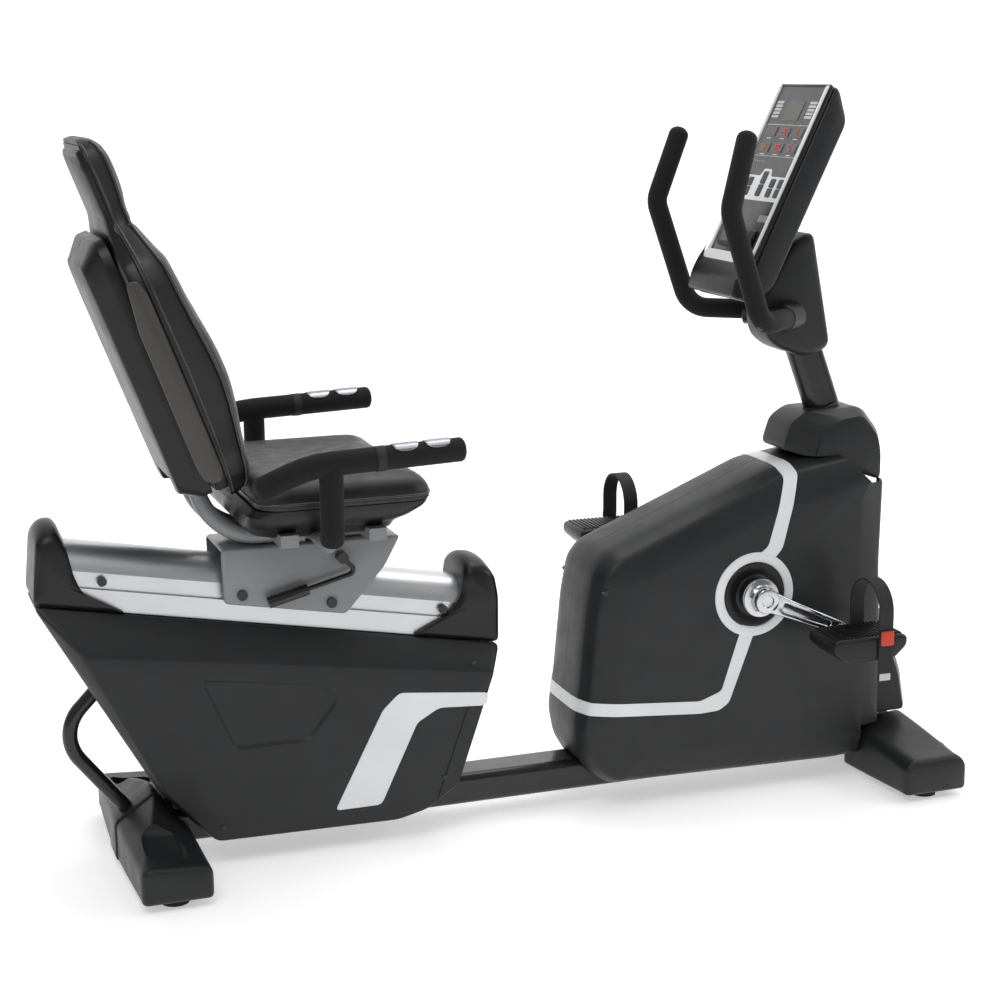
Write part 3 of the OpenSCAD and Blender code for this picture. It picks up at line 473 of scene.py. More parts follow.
def swept_path(path, bend, step=0.12):
    """Points along straight runs with round bends."""
    pts = [Vector(p) for p in path]
    out = [pts[0]]
    for i in range(1, len(pts) - 1):
        u, v = (pts[i] - pts[i - 1]).normalized(), (pts[i + 1] - pts[i]).normalized()
        angle = u.angle(v)
        reach = min(bend * math.tan(angle / 2), 0.49 * (pts[i] - pts[i - 1]).length,
                    0.49 * (pts[i + 1] - pts[i]).length)
        a, b = pts[i] - u * reach, pts[i] + v * reach
        n = max(3, int(angle / step))
        for k in range(n + 1):
            t = k / n
            w = 1.0 if angle < 0.01 else math.cos(angle / 2)
            s = (1 - t) ** 2 + 2 * t * (1 - t) * w + t * t
            out.append((a * (1 - t) ** 2 + pts[i] * 2 * t * (1 - t) * w + b * t * t) / s)
    out.append(pts[-1])
    return out


DOME = (0.15, 0.45, 0.8, 1.15)  # angles of the rings in a rounded tube end


def tube(path, r, bend=0.0, domes=(0.0, 0.0), n=28):
    """Round bar along a path; a dome is the length of a rounded end."""
    pts = swept_path(path, bend) if bend else [Vector(p) for p in path]
    start, end = (pts[1] - pts[0]).normalized(), (pts[-1] - pts[-2]).normalized()
    stations = []
    if domes[0]:
        stations += [(pts[0] + start * domes[0] * (1 - math.cos(a)), math.sin(a)) for a in DOME]
    stations += [(pts[0] + start * domes[0], 1.0)]
    stations += [(p, 1.0) for p in pts[1:-1]]
    stations += [(pts[-1] - end * domes[1], 1.0)]
    if domes[1]:
        stations += [(pts[-1] - end * domes[1] * (1 - math.cos(a)), math.sin(a))
                     for a in reversed(DOME)]
    places = [s[0] for s in stations]
    side = start.orthogonal().normalized()
    rings = []
    for i, (p, k) in enumerate(stations):
        a, b = places[max(i - 1, 0)], places[min(i + 1, len(places) - 1)]
        d = (b - a).normalized()
        side = (side - d * side.dot(d)).normalized()
        up = d.cross(side)
        rings.append([p + (side * math.cos(t) + up * math.sin(t)) * r * k for t in angles(n)])
    return loft(rings)


def lathe(profile, centre, n=64):
    """Turned shape about a line along Y through centre (x, z); profile is (radius, y)."""
    cx, cz = centre
    return loft([[(cx + r * math.cos(a), y, cz + r * math.sin(a)) for a in angles(n)]
                 for r, y in profile])


# ---------------------------------------------------------------- shrouds

CRANK = centre_of("crank_covers")
CRANK_XZ = (CRANK.x, CRANK.z)
FRONT_EDGE = [
    (106, 168), (116, 114), (140, 74), (176, 48), (640, 39), (742, 46), (742, 250),
    (734, 431), (738, 642), (700, 655), (491, 624), (204, 505), (169, 491), (144, 460),
    (131, 391), (117, 245),
]
FRONT_MID = (425, 320)
FRONT_LEVELS = [  # how far in from the edge, y
    (0, -0.3), (0, -42), (2.5, -64), (3.6, -67.5), (8, -78), (14, -91), (18, -96.2),
    (24, -99.4), (40, -104), (62, -108.6), (75, -110),
]
FLARE_LOW = [(660, 122), (806, 122), (793, 200), (748, 328), (700, 340)]
FLARE_SIDE = [(674, 126), (794, 126), (780, 200), (736, 324), (706, 332)]
COVER_SEAM = [(522, 655), (572, 638), (640, 638), (692, 588), (760, 584), (760, 800), (500, 800)]
FOOT_SPACE = [(684, 0), (900, 0), (900, 120), (684, 114)]
BAND_LOW = [
    (60, 202), (343, 179), (382, 181), (402, 194), (456, 338),
    (428, 346), (386, 218), (343, 203), (60, 226),
]
BAND_TOP = [
    (455, 470), (490, 462), (506, 480), (541, 619), (532, 680), (500, 680), (512, 610), (477, 486),
]
RING_IN, RING_OUT = 61, 80


def front_skin(grow):
    """Rings of the front shroud's outer face, moved outwards by grow."""
    line = rounded(FRONT_EDGE, 16)
    return [at_y(shrink(line, d - grow, FRONT_MID), y - (grow if y < -1 else 0))
            for d, y in FRONT_LEVELS]


def hollow(name, rings, wall):
    """Skin over rings, open at the first one, thickened inwards."""
    obj = make(name, loft(rings, (False, True)))
    mod = obj.modifiers.new("wall", "SOLIDIFY")
    mod.thickness = wall * MM
    mod.offset = -1
    apply_modifiers(obj)
    finish_mesh(obj)
    return obj


def front_shroud():
    obj = hollow("front_shroud_panel_right", front_skin(0), 2.5)
    flare = [at_y(rounded(o, 9), y) for o, y in (
        (FLARE_LOW, -0.3), (FLARE_LOW, -60), (FLARE_SIDE, -78))]
    flare.append(at_y(shrink(rounded(FLARE_SIDE, 9), 3, (740, 220)), -82))
    boolean(obj, loft(flare), "UNION")
    boolean(obj, loft([at_y(shrink(rounded(FLARE_LOW, 9), 3, (740, 220)), y) for y in (5, -57)]))
    boolean(obj, prism(COVER_SEAM, -140, 20))
    boolean(obj, prism(FOOT_SPACE, -140, 20))
    r = RING_IN - 1
    opening = [(CRANK.x + r * math.cos(a), CRANK.z + r * math.sin(a)) for a in angles(48)]
    boolean(obj, prism(opening, -140, -60))
    boolean(obj, box_shape((640, -50, 60), (742, 5, 640)))
    boolean(obj, box_shape((0, -44, 20), (775, 5, 96)))
    return obj


def front_band():
    """Silver inlay that follows the shroud's skin."""
    bands = []
    for outline in (BAND_LOW, BAND_TOP):
        strip = make("strip", prism(rounded(outline, 7), -140, -0.4))
        boolean(strip, loft(front_skin(0.7)), "INTERSECT")
        boolean(strip, loft([[(x, y + 1.5 if y < -1 else 2, z) for x, y, z in ring]
                             for ring in front_skin(-1.5)]))
        bands.append(strip)
    ring = make("ring", lathe([
        (RING_IN + 0.4, -104), (RING_IN + 0.4, -110.5), (RING_IN + 2, -112), (RING_IN + 6, -112.6),
        (RING_OUT - 5, -112.6), (RING_OUT - 1.5, -111.8), (RING_OUT, -109.5),
        (RING_OUT, -104)], CRANK_XZ))
    return join("front_band_right", bands + [ring])


REAR_EDGE = [
    (-844, 487), (-653, 142), (-566, 47), (-234, 42), (-178, 56), (-118, 95),
    (-72, 227), (-32, 341),
]
REAR_LOWER = [
    (-775, 408), (-648, 152), (-562, 52), (-236, 47), (-182, 60), (-124, 99),
    (-79, 229), (-54, 303),
]
REAR_MID = (-395, 235)
REAR_STRIP = [
    (-352, 80), (-268, 80), (-199, 224), (-158, 247), (-70, 241), (-66, 264),
    (-231, 282), (-262, 254),
]
REAR_PANEL = [(-581, 345), (-526, 213), (-394, 213), (-339, 281), (-365, 313)]


def rear_shroud():
    edge, lower = rounded(REAR_EDGE, 12), rounded(REAR_LOWER, 12)
    mid = [a.lerp(b, 0.10) for a, b in zip(edge, lower)]
    low = [a.lerp(b, 0.93) for a, b in zip(edge, lower)]
    rings = [at_y(edge, -0.3), at_y(edge, -59), at_y(mid, -65.5), at_y(low, -94.6),
             at_y(shrink(lower, 1.2, REAR_MID), -96.4), at_y(shrink(lower, 4.5, REAR_MID), -97)]
    obj = hollow("rear_shroud_panel_right", rings, 5.5)
    panel = rounded(REAR_PANEL, 16)
    boolean(obj, loft([at_y(shrink(panel, d, (-450, 275)), y)
                       for d, y in ((-3, -99.5), (0, -97), (5, -93.4))]))
    seam = [(-178, 40), (-176, 40), (-106, 236), (-30, 300), (-30, 303), (-108, 238)]
    boolean(obj, prism(seam, -100, -95.6))
    boolean(obj, box_shape((-705, -44, 20), (-20, 5, 96)))
    boolean(obj, prism([(-800, 10), (-640, 10), (-640, 160), (-800, 340)], -18, 5))
    for x in (-600, -180):
        boolean(obj, box_shape((x - 28, -29, 90), (x + 28, 5, 600)))
    return obj


def rear_strip():
    line = rounded(REAR_STRIP, 9)
    rings = [at_y(line, -95), at_y(line, -97.6), at_y(shrink(line, 0.7, (-210, 215)), -98.2)]
    return make("rear_strip_right", loft(rings))


def shroud_pieces():
    place_pair(front_shroud(), "base", "shroud_grey", "front_shroud_right")
    place_pair(rear_shroud(), "base", "shroud_grey", "rear_shroud_right")
    for piece in (front_band(), rear_strip()):
        place_pair(piece, "base", "silver_trim", "shroud_accents")
    for x, y, z in ((163, -100.0, 425), (272, -101.6, 76)):
        head = [(0.4, 6), (5.2, 6), (5.2, 0), (4.4, -0.7), (2.9, -0.7), (2.4, 1.2), (0.4, 1.2)]
        screw = lathe([(r, y + h) for r, h in head], (x, z), 24)
        place_pair(make("cover_screw_right_%d" % x, screw), "base", "frame_black")
    hub = make("crank_hub_cover_right", lathe([
        (8, -108), (RING_IN - 0.6, -108), (RING_IN - 0.6, -111), (RING_IN - 2, -112.2),
        (46, -112.2), (44, -111), (38, -111), (36, -112.6), (31, -114), (29, -114), (27, -112),
        (22, -112), (20, -108)], CRANK_XZ))
    place_pair(hub, "base", "black_plastic", "crank_covers")


# ---------------------------------------------------------------- caps, covers, feet

REAR_CAP = [
    (-844, 490), (-780, 478), (-690, 461), (-762, 502), (-774, 530),
    (-785, 590), (-798, 622), (-820, 622), (-834, 606),
]
FRONT_CAP = [
    (-195, 371), (-32, 342.5), (-32, 430), (-39, 476), (-56, 497), (-84, 502),
    (-97, 488), (-102, 440), (-118, 408),
]


def domed(shape, low, drop):
    """Lets a cap's top fall away towards its sides, from the height low up."""
    verts, faces = shape
    out = []
    for x, y, z in verts:
        out.append((x, y, z - drop * (abs(y) / 63) ** 2.2 * min(1, max(0, (z - low) / 90))))
    return out, faces


def cap_shape(outline, mid, low, drop):
    """Cap drawn as many thin stations across, so that its top can be domed."""
    line = rounded(outline, 12)
    rings = []
    for y in (-63, -62.2, -60, -56, -48, -36, -20, 0, 20, 36, 48, 56, 60, 62.2, 63):
        d = 9 * max(0, (abs(y) - 54) / 9) ** 2.2
        rings.append(at_y(shrink(line, d, mid), y))
    return domed(loft(rings), low, drop)


def cap_pieces():
    rear = make("rail_cap_rear", cap_shape(REAR_CAP, (-808, 530), 530, 20))
    front = make("rail_cap_front", cap_shape(FRONT_CAP, (-70, 420), 420, 18))
    for cap in (rear, front):
        place(cap, "base", "black_plastic", "rail_caps")


REAR_FOOT = (
    [(-724, 14), (-597, 14), (-597, 58), (-603, 68), (-655, 130), (-724, 84)],
    [(-717, 14), (-597, 14), (-597, 62), (-607, 73), (-707, 80), (-717, 70)], 33.2,
)
FRONT_FOOT = (
    [(688, 14), (834, 14), (834, 76), (806, 112), (696, 105), (688, 98)],
    [(704, 14), (834, 14), (834, 66), (818, 83), (722, 83), (704, 70)], 42.2,
)
FOOT_HALF = 247


def foot_cover(name, centre, end, y_in):
    a, b = rounded(centre, 9), rounded(end, 11)
    c = (sum(p[0] for p in end) / 6, 45)
    y_low = FOOT_HALF - 30
    rings = []
    for t in (0.0, 0.03, 0.25, 0.5, 0.75, 1.0):
        ring = [p.lerp(q, t ** 1.25) for p, q in zip(a, b)]
        rings.append(at_y(ring, -(y_in + (y_low - y_in) * t)))
    rings += [at_y(b, -FOOT_HALF + 12), at_y(shrink(b, 1.2, c), -FOOT_HALF + 6),
              at_y(shrink(b, 4, c), -FOOT_HALF + 2), at_y(shrink(b, 8, c), -FOOT_HALF)]
    return make(name, loft(rings))


def foot_pieces():
    rear = foot_cover("rear_foot_cover_right", *REAR_FOOT)
    dish = pillow([(-700, 84), (-630, 78), (-622, 118), (-700, 130)], -205, -120, 12, 14)
    boolean(rear, ([(x, y, z + 0.40 * (y + 205) - 22) for x, y, z in dish[0]], dish[1]))
    boolean(rear, box_shape((-694, -42, 10), (-500, 0, 94)))
    boolean(rear, box_shape((-628, -28, 80), (-500, 0, 200)))
    front = foot_cover("front_foot_cover_right", *FRONT_FOOT)
    wheel = centre_of("transport_wheel_right")
    boolean(front, box_shape((wheel.x - 32, wheel.y - 20, 20), (900, wheel.y + 20, wheel.z + 28)))
    boolean(front, box_shape((738, -60, 0), (798, -40, 65)))
    for piece in (rear, front):
        place_pair(piece, "base", "shroud_grey", "foot_covers")
    edge = [(-727, 13), (-598, 13), (-598, 68), (-656, 133.5), (-727, 86)]
    collar = make("rear_foot_collar", pillow(edge, -32, 32, 3, 12, (-665, 60)))
    boolean(collar, box_shape((-694, -40, 10), (-500, 40, 94)))
    boolean(collar, box_shape((-628, -28, 80), (-500, 28, 200)))
    place(collar, "base", "black_plastic", "foot_covers")


# ---------------------------------------------------------------- backrest

BACK_ROWS = [  # height up the back, half width, depth of the front face
    (-14, 132, 56), (-6, 144, 72), (4, 150, 80), (25, 165, 86), (60, 178, 90),
    (120, 186, 101), (176, 189, 109), (230, 190, 107), (300, 189, 98), (340, 186.5, 94),
    (360, 184, 92), (385, 176, 90), (405, 165, 82), (430, 142, 74), (446, 126, 70),
    (460, 117, 68), (480, 112, 68), (500, 111, 72), (530, 110.5, 75), (560, 109, 75),
    (580, 103, 70), (592, 92, 61), (599, 74, 48),
]
CUSHION_BACK = 34.4
NECK_Z = 452  # seam under the headrest
BOLSTER = 0.62  # where the side bolster starts, as a share of the half width


def spread(rows, step):
    """Rows with smooth in-between rows added about every step."""
    out = []
    for i in range(len(rows) - 1):
        p0, p1, p2 = rows[max(i - 1, 0)], rows[i], rows[i + 1]
        p3 = rows[min(i + 2, len(rows) - 1)]
        n = max(1, round((p2[0] - p1[0]) / step))
        for k in range(n):
            t = k / n
            row = [0.5 * (2 * b + (c - a) * t + (2 * a - 5 * b + 4 * c - d) * t * t
                          + (3 * b - a - 3 * c + d) * t ** 3) for a, b, c, d in zip(p0, p1, p2, p3)]
            row[0] = p1[0] + (p2[0] - p1[0]) * t
            out.append(tuple(row))
    out.append(rows[-1])
    return out


def ramp(value, start, length):
    """0 before start, rising to 1 over length."""
    return min(1, max(0, (value - start) / length))


def dip(value, at, width):
    """Bell curve, 1 at its middle."""
    return math.exp(-((value - at) / width) ** 2)


def pucker(x, y, z, size):
    """Small steady irregularity of stretched upholstery."""
    return size * (math.sin(x * 0.071 + y * 0.043) * math.sin(z * 0.059 + y * 0.037)
                   + 0.5 * math.sin(y * 0.11 + z * 0.083))


def back_ring(z, half, front):
    """Section of the backrest cushion: bolsters, hollow middle, sewn grooves."""
    ring = []
    n = 72
    depth = front - CUSHION_BACK
    for k in range(n + 1):
        a = math.pi * k / n
        c, s = math.cos(a), math.sin(a)
        y = half * math.copysign(abs(c) ** 0.42, c)
        x = CUSHION_BACK + depth * max(s, 0.0) ** 0.34
        inner = abs(y) / half
        if z <= NECK_Z:
            hollow_in = 1 - min(1.0, inner / BOLSTER) ** 2.4
            x -= 15 * hollow_in * ramp(z, 10, 60) * ramp(-z, -NECK_Z, 70)
            x -= 3.4 * dip(inner, BOLSTER, 0.025)
        x -= 3.5 * dip(z, 238, 4.0) * (inner < BOLSTER) + 5 * dip(z, NECK_Z, 5.0)
        x += pucker(x, y, z, 0.5) * s
        ring.append(on_back(x, -y, z))
    ring += [on_back(CUSHION_BACK, half * (1 - 2 * k / 8), z) for k in range(1, 8)]
    return ring


def back_cushion():
    rings = [back_ring(*row) for row in spread(BACK_ROWS, 6)]
    return make("backrest_cushion", loft(rings), 50)


def back_bead(name, share, r, out, lowest, highest):
    """Piping round the side of the cushion, share of the way from back to front."""
    rows = [row for row in spread(BACK_ROWS, 9) if lowest <= row[0] <= highest]
    side = [(CUSHION_BACK + share * (front - CUSHION_BACK), half * (1 - 0.02 * share) + out, z)
            for z, half, front in rows]
    top = [(x, -y, z) for x, y, z in side]
    path = [on_back(*p) for p in top] + [on_back(*p) for p in reversed(side)]
    return make(name, tube(path, r, n=10), 60)


def outline_from(rows, grow, low, high):
    """Outline (y, z) of the backrest between two heights, moved outwards by grow."""
    right = [(row[1] + grow, row[0]) for row in rows if low <= row[0] <= high]
    return right + [(-y, z) for y, z in reversed(right)]


def back_slab(outline, x0, x1, edge):
    """Slab across the backrest frame from depth x0 to x1 with a rounded rim."""
    line = rounded(outline, 5, 2)
    mid = (0, 300)
    rings = []
    for d, x in ((edge, x0), (edge * 0.35, x0 + edge * 0.3), (0, x0 + edge), (0, x1 - 1),
                 (0.8, x1)):
        ring = []
        for y, z in shrink(line, d, mid):
            head = min(1, max(0, (z - 400) / 70)) if x < x1 - 2 else 0
            ring.append(on_back(x + 14 * head, y * (1 - 0.10 * head), z - 6 * head * (z > 560)))
        rings.append(ring)
    return loft(rings)


def back_pieces():
    cushion = back_cushion()
    place(cushion, "seat", "vinyl", "back_cushion")
    for name, share, r in (("backrest_piping", 0.70, 2.4), ("backrest_rear_piping", 0.12, 2.2)):
        bead = back_bead(name, share, r, 0.6, -6, 592)
        # the piping look carries a painted highlight
        place(bead, "seat", "vinyl", "back_cushion", look="piping")
    rows = spread(BACK_ROWS, 12)
    shell = make("backrest_shell", back_slab(outline_from(rows, -2, 2, 592), 10, 34, 9))
    boolean(shell, box_shape((-2, -60, 0), (14, 60, 16), put=on_back))
    place(shell, "seat", "black_plastic", "back_shell")
    for s in (-1, 1):
        plate = [(0, 34), (22, 26), (31, 40), (31, 352), (24, 378), (6, 380), (-5, 300), (-6, 60)]
        shape = pillow(plate, s * 187.5 - 3, s * 187.5 + 4, 2.4, 9, (12, 200),
                       put=lambda x, y, z: on_back(x, y * (1.0 - 0.00018 * max(0, 130 - z)), z))
        side = make("backrest_side_plate_%s" % ("right" if s < 0 else "left"), shape)
        place(side, "seat", "back_plastic", "back_shell")
    cover = [(118, -6), (131, 24), (133, 200), (130, 400), (112, 446)]
    inner = [(96, 8), (108, 34), (110, 200), (106, 376), (90, 418)]
    full = [o + [(-y, z) for y, z in reversed(o)] for o in (cover, inner)]
    a, b = rounded(full[0], 26), rounded(full[1], 22)
    rings = [[on_back(x, p.x + (q.x - p.x) * t, p.y + (q.y - p.y) * t) for p, q in zip(a, b)]
             for x, t in ((9.8, 0), (-6, 0.0), (-12, 0.14), (-33, 0.92), (-38, 1.06), (-40, 1.22))]
    rear = make("backrest_rear_cover", loft(rings))
    boolean(rear, box_shape((-60, -60, -40), (12, 60, 34), put=on_back))
    place(rear, "seat", "black_plastic", "back_cover")


# ---------------------------------------------------------------- seat and armrests

SEAT_LEVELS = [  # how far in from the edge, z
    (7, 648.4), (2, 649.6), (0, 652), (0.6, 656), (0, 660), (0.5, 665), (2.5, 672), (7, 680),
    (14, 687.5), (24, 693.5), (38, 698), (56, 701), (76, 702.3), (100, 702.6), (124, 702.2),
]
PAN_ROWS = [  # z, x of the rear and front edge, half width
    (590, -470, -262, 150), (596, -490, -250, 162), (606, -500, -246, 170),
    (612, -506, -242, 180), (622, -508, -226, 196), (636, -506, -206, 206),
    (642, -500, -201, 209), (648, -496, -199, 210),
]


def seat_outline(x0, x1, half, corner):
    return rounded([(x0, -half), (x1, -half), (x1, half), (x0, half)], corner, 10)


def seat_cushion():
    lo, hi = box_of("seat_cushion")
    mid = ((lo.x + hi.x) / 2, 0)
    line = seat_outline(lo.x, hi.x, hi.y - 1, 48)
    rings = []
    for d, z in SEAT_LEVELS:
        ring = []
        for p in shrink(line, d, mid):
            drop = 9 * max(0, (p.x - mid[0]) / 150) ** 3 * max(0, (z - 660) / 42)
            waist = 4 * dip(p.x, mid[0] - 40, 90) * min(1, d / 60)
            ring.append((p.x, p.y, z - drop - waist + pucker(p.x, p.y, z, 0.5) * min(1, d / 30)))
        rings.append(ring)
    return make("seat_cushion_pad", loft(rings), 50), line, mid


def seat_pan():
    return make("seat_pan_shell", loft([
        [(p.x, p.y, z) for p in seat_outline(x0, x1, half, 44)] for z, x0, x1, half in PAN_ROWS]))


def arm_pieces():
    lo, hi = box_of("arm_grips")
    y, post_x = lo.y + 20, -391
    grip = make("armrest_foam_right", tube(
        [(lo.x + 1, y, 699), (-425, y, 735), (hi.x, y, 744.8)], 20, 200, (9, 9)))
    post = make("armrest_post_foam_right", tube(
        [(post_x, y + 9, 600), (post_x, y, 622), (post_x, y, 728)], 19.5, 60, (10, 0)))
    band = make("armrest_sensor_band_right", tube([(-318, y, 738.8), (-303, y, 739.4)], 20.9))
    for piece in (grip, post):
        place_pair(piece, "seat", "foam", "arm_grips")
    place_pair(band, "seat", "foam", "arm_grips", look="rubber")


ARM_SLOPE = 0.038


def sensor_plate(name, x_mid, y, z):
    """Plate wrapped over the foam, long oval, slightly proud."""
    rings = []
    for share, r in ((1.0, 19.4), (1.0, 20.8), (0.97, 21.3), (0.85, 21.5), (0.5, 21.6),
                     (0.12, 21.6)):
        ring = []
        for a in angles(40):
            u = 22 * share * math.copysign(abs(math.cos(a)) ** 0.7, math.cos(a))
            v = math.radians(58) * share * math.copysign(abs(math.sin(a)) ** 0.7, math.sin(a))
            ring.append((x_mid + u, y + r * math.sin(v), z + u * ARM_SLOPE + r * math.cos(v)))
        rings.append(ring)
    return make(name, loft(rings))


def seat_pieces():
    cushion, line, mid = seat_cushion()
    place(cushion, "seat", "vinyl", "seat_cushion")
    ring = [(p.x, p.y, 659.5) for p in shrink(line, -0.2, mid)]
    piping = make("seat_piping", tube(ring + ring[:1], 2.3, n=10), 60)
    # the piping look carries a painted highlight
    place(piping, "seat", "vinyl", "seat_cushion", look="piping")
    place(seat_pan(), "seat", "black_plastic", "seat_pan")
    arm_pieces()
    for side, y in (("right", -280), ("left", 280)):
        for k, x in enumerate((-269, -215)):
            plate = sensor_plate("pulse_plate_%s_%d" % (side, k + 1), x, y,
                                 742.2 + (x + 242) * ARM_SLOPE)
            place(plate, "seat", "chrome", "pulse_sensors", look="plate")


# ---------------------------------------------------------------- console, neck, handlebar

CASE = [(8.6, -66), (42, -60), (62, -20), (62, 304), (22, 349), (8.6, 349)]
BEZEL = [
    (-2, 0.5), (-6, -1), (-14, -38), (-8, -66), (8.2, -66), (8.2, 349), (0, 349), (0, 4),
]
CONSOLE_HALF = 97


def console_slab(outline, edge, corner, mid):
    return pillow(outline, -CONSOLE_HALF, CONSOLE_HALF, edge, corner, mid, put=on_console)


def face_part(outline, x0, x1, edge=0.6, corner=1.5):
    """Flat part on the console face, outline given as (y, z), from depth x0 out to x1."""
    line = rounded(outline, corner, 3)
    c = tuple(sum(p[k] for p in outline) / len(outline) for k in (0, 1))
    rings = [[on_console(x, y, z) for y, z in shrink(line, d, c)]
             for d, x in ((0, x0), (0, x1 + edge), (edge, x1))]
    return loft(rings)


def frame_line(y0, y1, z0, z1, w=1.2):
    """Thin printed outline as four bars."""
    return [rect(y0, y1, z0, z0 + w), rect(y0, y1, z1 - w, z1),
            rect(y0, y0 + w, z0, z1), rect(y1 - w, y1, z0, z1)]


FACE = 0.9  # depth of the printed film
SEGMENTS = {  # lit bars of a seven-segment figure: (across, up, length across, length up)
    "a": (0, 2, 1, 0), "b": (1, 1, 0, 1), "c": (1, 0, 0, 1), "d": (0, 0, 1, 0),
    "e": (0, 0, 0, 1), "f": (0, 1, 0, 1), "g": (0, 1, 1, 0),
}
FIGURES = {1: "bc", 2: "abged", 3: "abgcd", 5: "afgcd", 8: "abcdefg"}
SHOWN = {  # figures on show: height up the face, then (y, figure)
    217: ((51, 3), (4, 8), (-4, 2), (-48, 5)),
    248: ((4, 2), (-4, 5), (-48, 1)),
}
ROUND_BARS = 5


def figure(value, y, z, w=6.0, h=5.6):
    bars = []
    for key in FIGURES[value]:
        a, u, la, lu = SEGMENTS[key]
        y0, z0 = y - a * w, z + u * h
        bar = rect(y0 - la * w - 0.5, y0 + 0.5, z0 - 0.5, z0 + lu * h + 0.5)
        bars.append(face_part(bar, FACE, -1.3, 0.2, 0.3))
    return bars


def console_case():
    case = make("console_housing", console_slab(CASE, 11, 13, (34, 140)))
    place(case, "base", "shroud_grey", "console_back")
    bezel = make("console_bezel", console_slab(BEZEL, 7, 5, (2, 140)))
    boolean(bezel, box_shape((-5, -85.6, 14), (4.9, 85.6, 343), put=on_console))
    place(bezel, "base", "black_plastic", "console_front")
    lip = [(-94, 9), (-90, -3), (-60, -7), (60, -7), (90, -3), (94, 9), (86, 15.5), (-86, 15.5)]
    for name, shape in (
            ("console_trim_left", face_part(rect(84.8, 92.0, 9, 345), 1, -2.2, 1.2, 3)),
            ("console_trim_right", face_part(rect(-94, -84.6, 9, 345), 1, -2.2, 1.2, 3)),
            ("console_trim_lip", face_part(lip, 1, -6.4, 1.6, 5))):
        place(make(name, shape), "base", "silver_trim", "console_trim")


def console_print():
    """Blank white bars where the real panel has its printing."""
    bars = [face_part(rect(s * 63 - 13, s * 63 + 13, 281 + 7 * k, 286 + 7 * k), FACE, 0.4, 0.2, 1.6)
            for s in (-1, 1) for k in range(ROUND_BARS)]
    bars += [face_part(r, FACE, 0.6, 0.1, 0.2) for r in frame_line(-82, 80, 205, 268)]
    bars += [face_part(rect(y - 10, y + 8, z, z + 2.2), FACE, 0.6, 0.1, 0.3)
             for y in (-51, 0, 51) for z in (208, 239.5)]
    bars += [face_part(rect(66 - 9 * k, 62 - 9 * k, 194, 196), FACE, 0.6, 0.1, 0.2)
             for k in range(ROUND_BARS)]
    bars += [face_part(rect(y, y + 2.2, 80, 93), FACE, 0.6, 0.1, 0.3) for y in range(-84, -48, 5)]
    place(make_all("console_labels", bars), "base", "silver_trim", look="label")
    lit_bars = [bar for z, row in SHOWN.items() for y, v in row for bar in figure(v, y + 3, z)]
    place(make_all("console_digits", lit_bars), "base", "window", look="lit")


def console_pieces():
    console_case()
    console_print()
    plate = [(70, 119), (-84, 119), (-84, 167), (-24, 167), (-17, 181), (11, 181), (18, 167),
             (70, 167)]
    pad = make("console_keypad_plate", face_part(plate, 1, 0.2, 0.3, 4))
    place(pad, "base", "silver_trim")
    tray = make("console_tray", face_part(rect(-66, 66, 26, 64), 1, -5.5, 3, 9))
    place(tray, "base", "black_plastic")
    recess = make("console_tray_recess", face_part(rect(-54, 54, 33, 60), -4, -6.4, 0.5, 7))
    place(recess, "base", "console_panel")
    for key, y in (("program", 45), ("level", -3), ("mode", -42), ("start", -73)):
        halves = ((127, 150.5), (151.5, 176)) if key == "level" else ((127, 144.4), (145.6, 163))
        caps = [face_part(rect(y - 9.4, y + 9.4, z0, z1), 4, -1.4, 1.2, 3) for z0, z1 in halves]
        place(make_all("key_%s_caps" % key, caps), key + "_key", "key_grey", "key_" + key)
    olive = face_part(rect(-29.5, 29.5, 276.5, 314.5), 1, 0.0, 0.5, 2)
    place(make("console_window_olive", olive), "base", "window", "console_windows", look="olive")
    for z in (214, 245):
        for y in (-51, 0, 51):
            pane = face_part(rect(y - 20.5, y + 20.5, z - 1, z + 18), 1, 0.0, 0.5, 2)
            name = "console_window_%d_%d" % (z, y + 60)
            place(make(name, pane), "base", "window", "console_windows")
    neck = [(500, 864), (526, 840), (584, 820), (634, 838), (592, 1056), (545, 1030), (488, 945)]
    cover = make("neck_cover_shell", pillow(neck, -45, 45, 14, 20, (560, 930)))
    place(cover, "base", "shroud_grey", "neck_cover")
    collars = [tube([(509, s * 78, 901), (548, s * 49, 901)], 27, 0, (4, 0), 36) for s in (-1, 1)]
    place(make_all("handlebar_collars", collars), "base", "black_plastic", "neck_cover")
    grip_pieces()


BAR = [(574, -34, 901), (432, -151, 901), (364, -158, 1104), (404, -140, 1234)]


def grip_pieces():
    end, bend, rise, top = (Vector(p) for p in BAR)
    first = bend + (end - bend).normalized() * 128
    tip = top + (top - rise).normalized() * 6
    grip = make("handlebar_foam_right", tube([first, bend, rise, tip], 18.5, 46, (3, 15), 32), 60)
    place_pair(grip, "base", "foam", "handlebar_grips")


# ---------------------------------------------------------------- crank, pedals, straps, lever

CRANK_ARM = 170
CRANK_DROP = 23.4  # degrees that the right arm points below forward, at rest


def on_arm(s):
    """Crank-arm frame to row frame; s is 1 for the right arm, -1 for the left one."""
    a = math.radians(CRANK_DROP)
    return lambda x, y, z: (CRANK.x + s * (x * math.cos(a) + z * math.sin(a)), y * s,
                            CRANK.z + s * (-x * math.sin(a) + z * math.cos(a)))


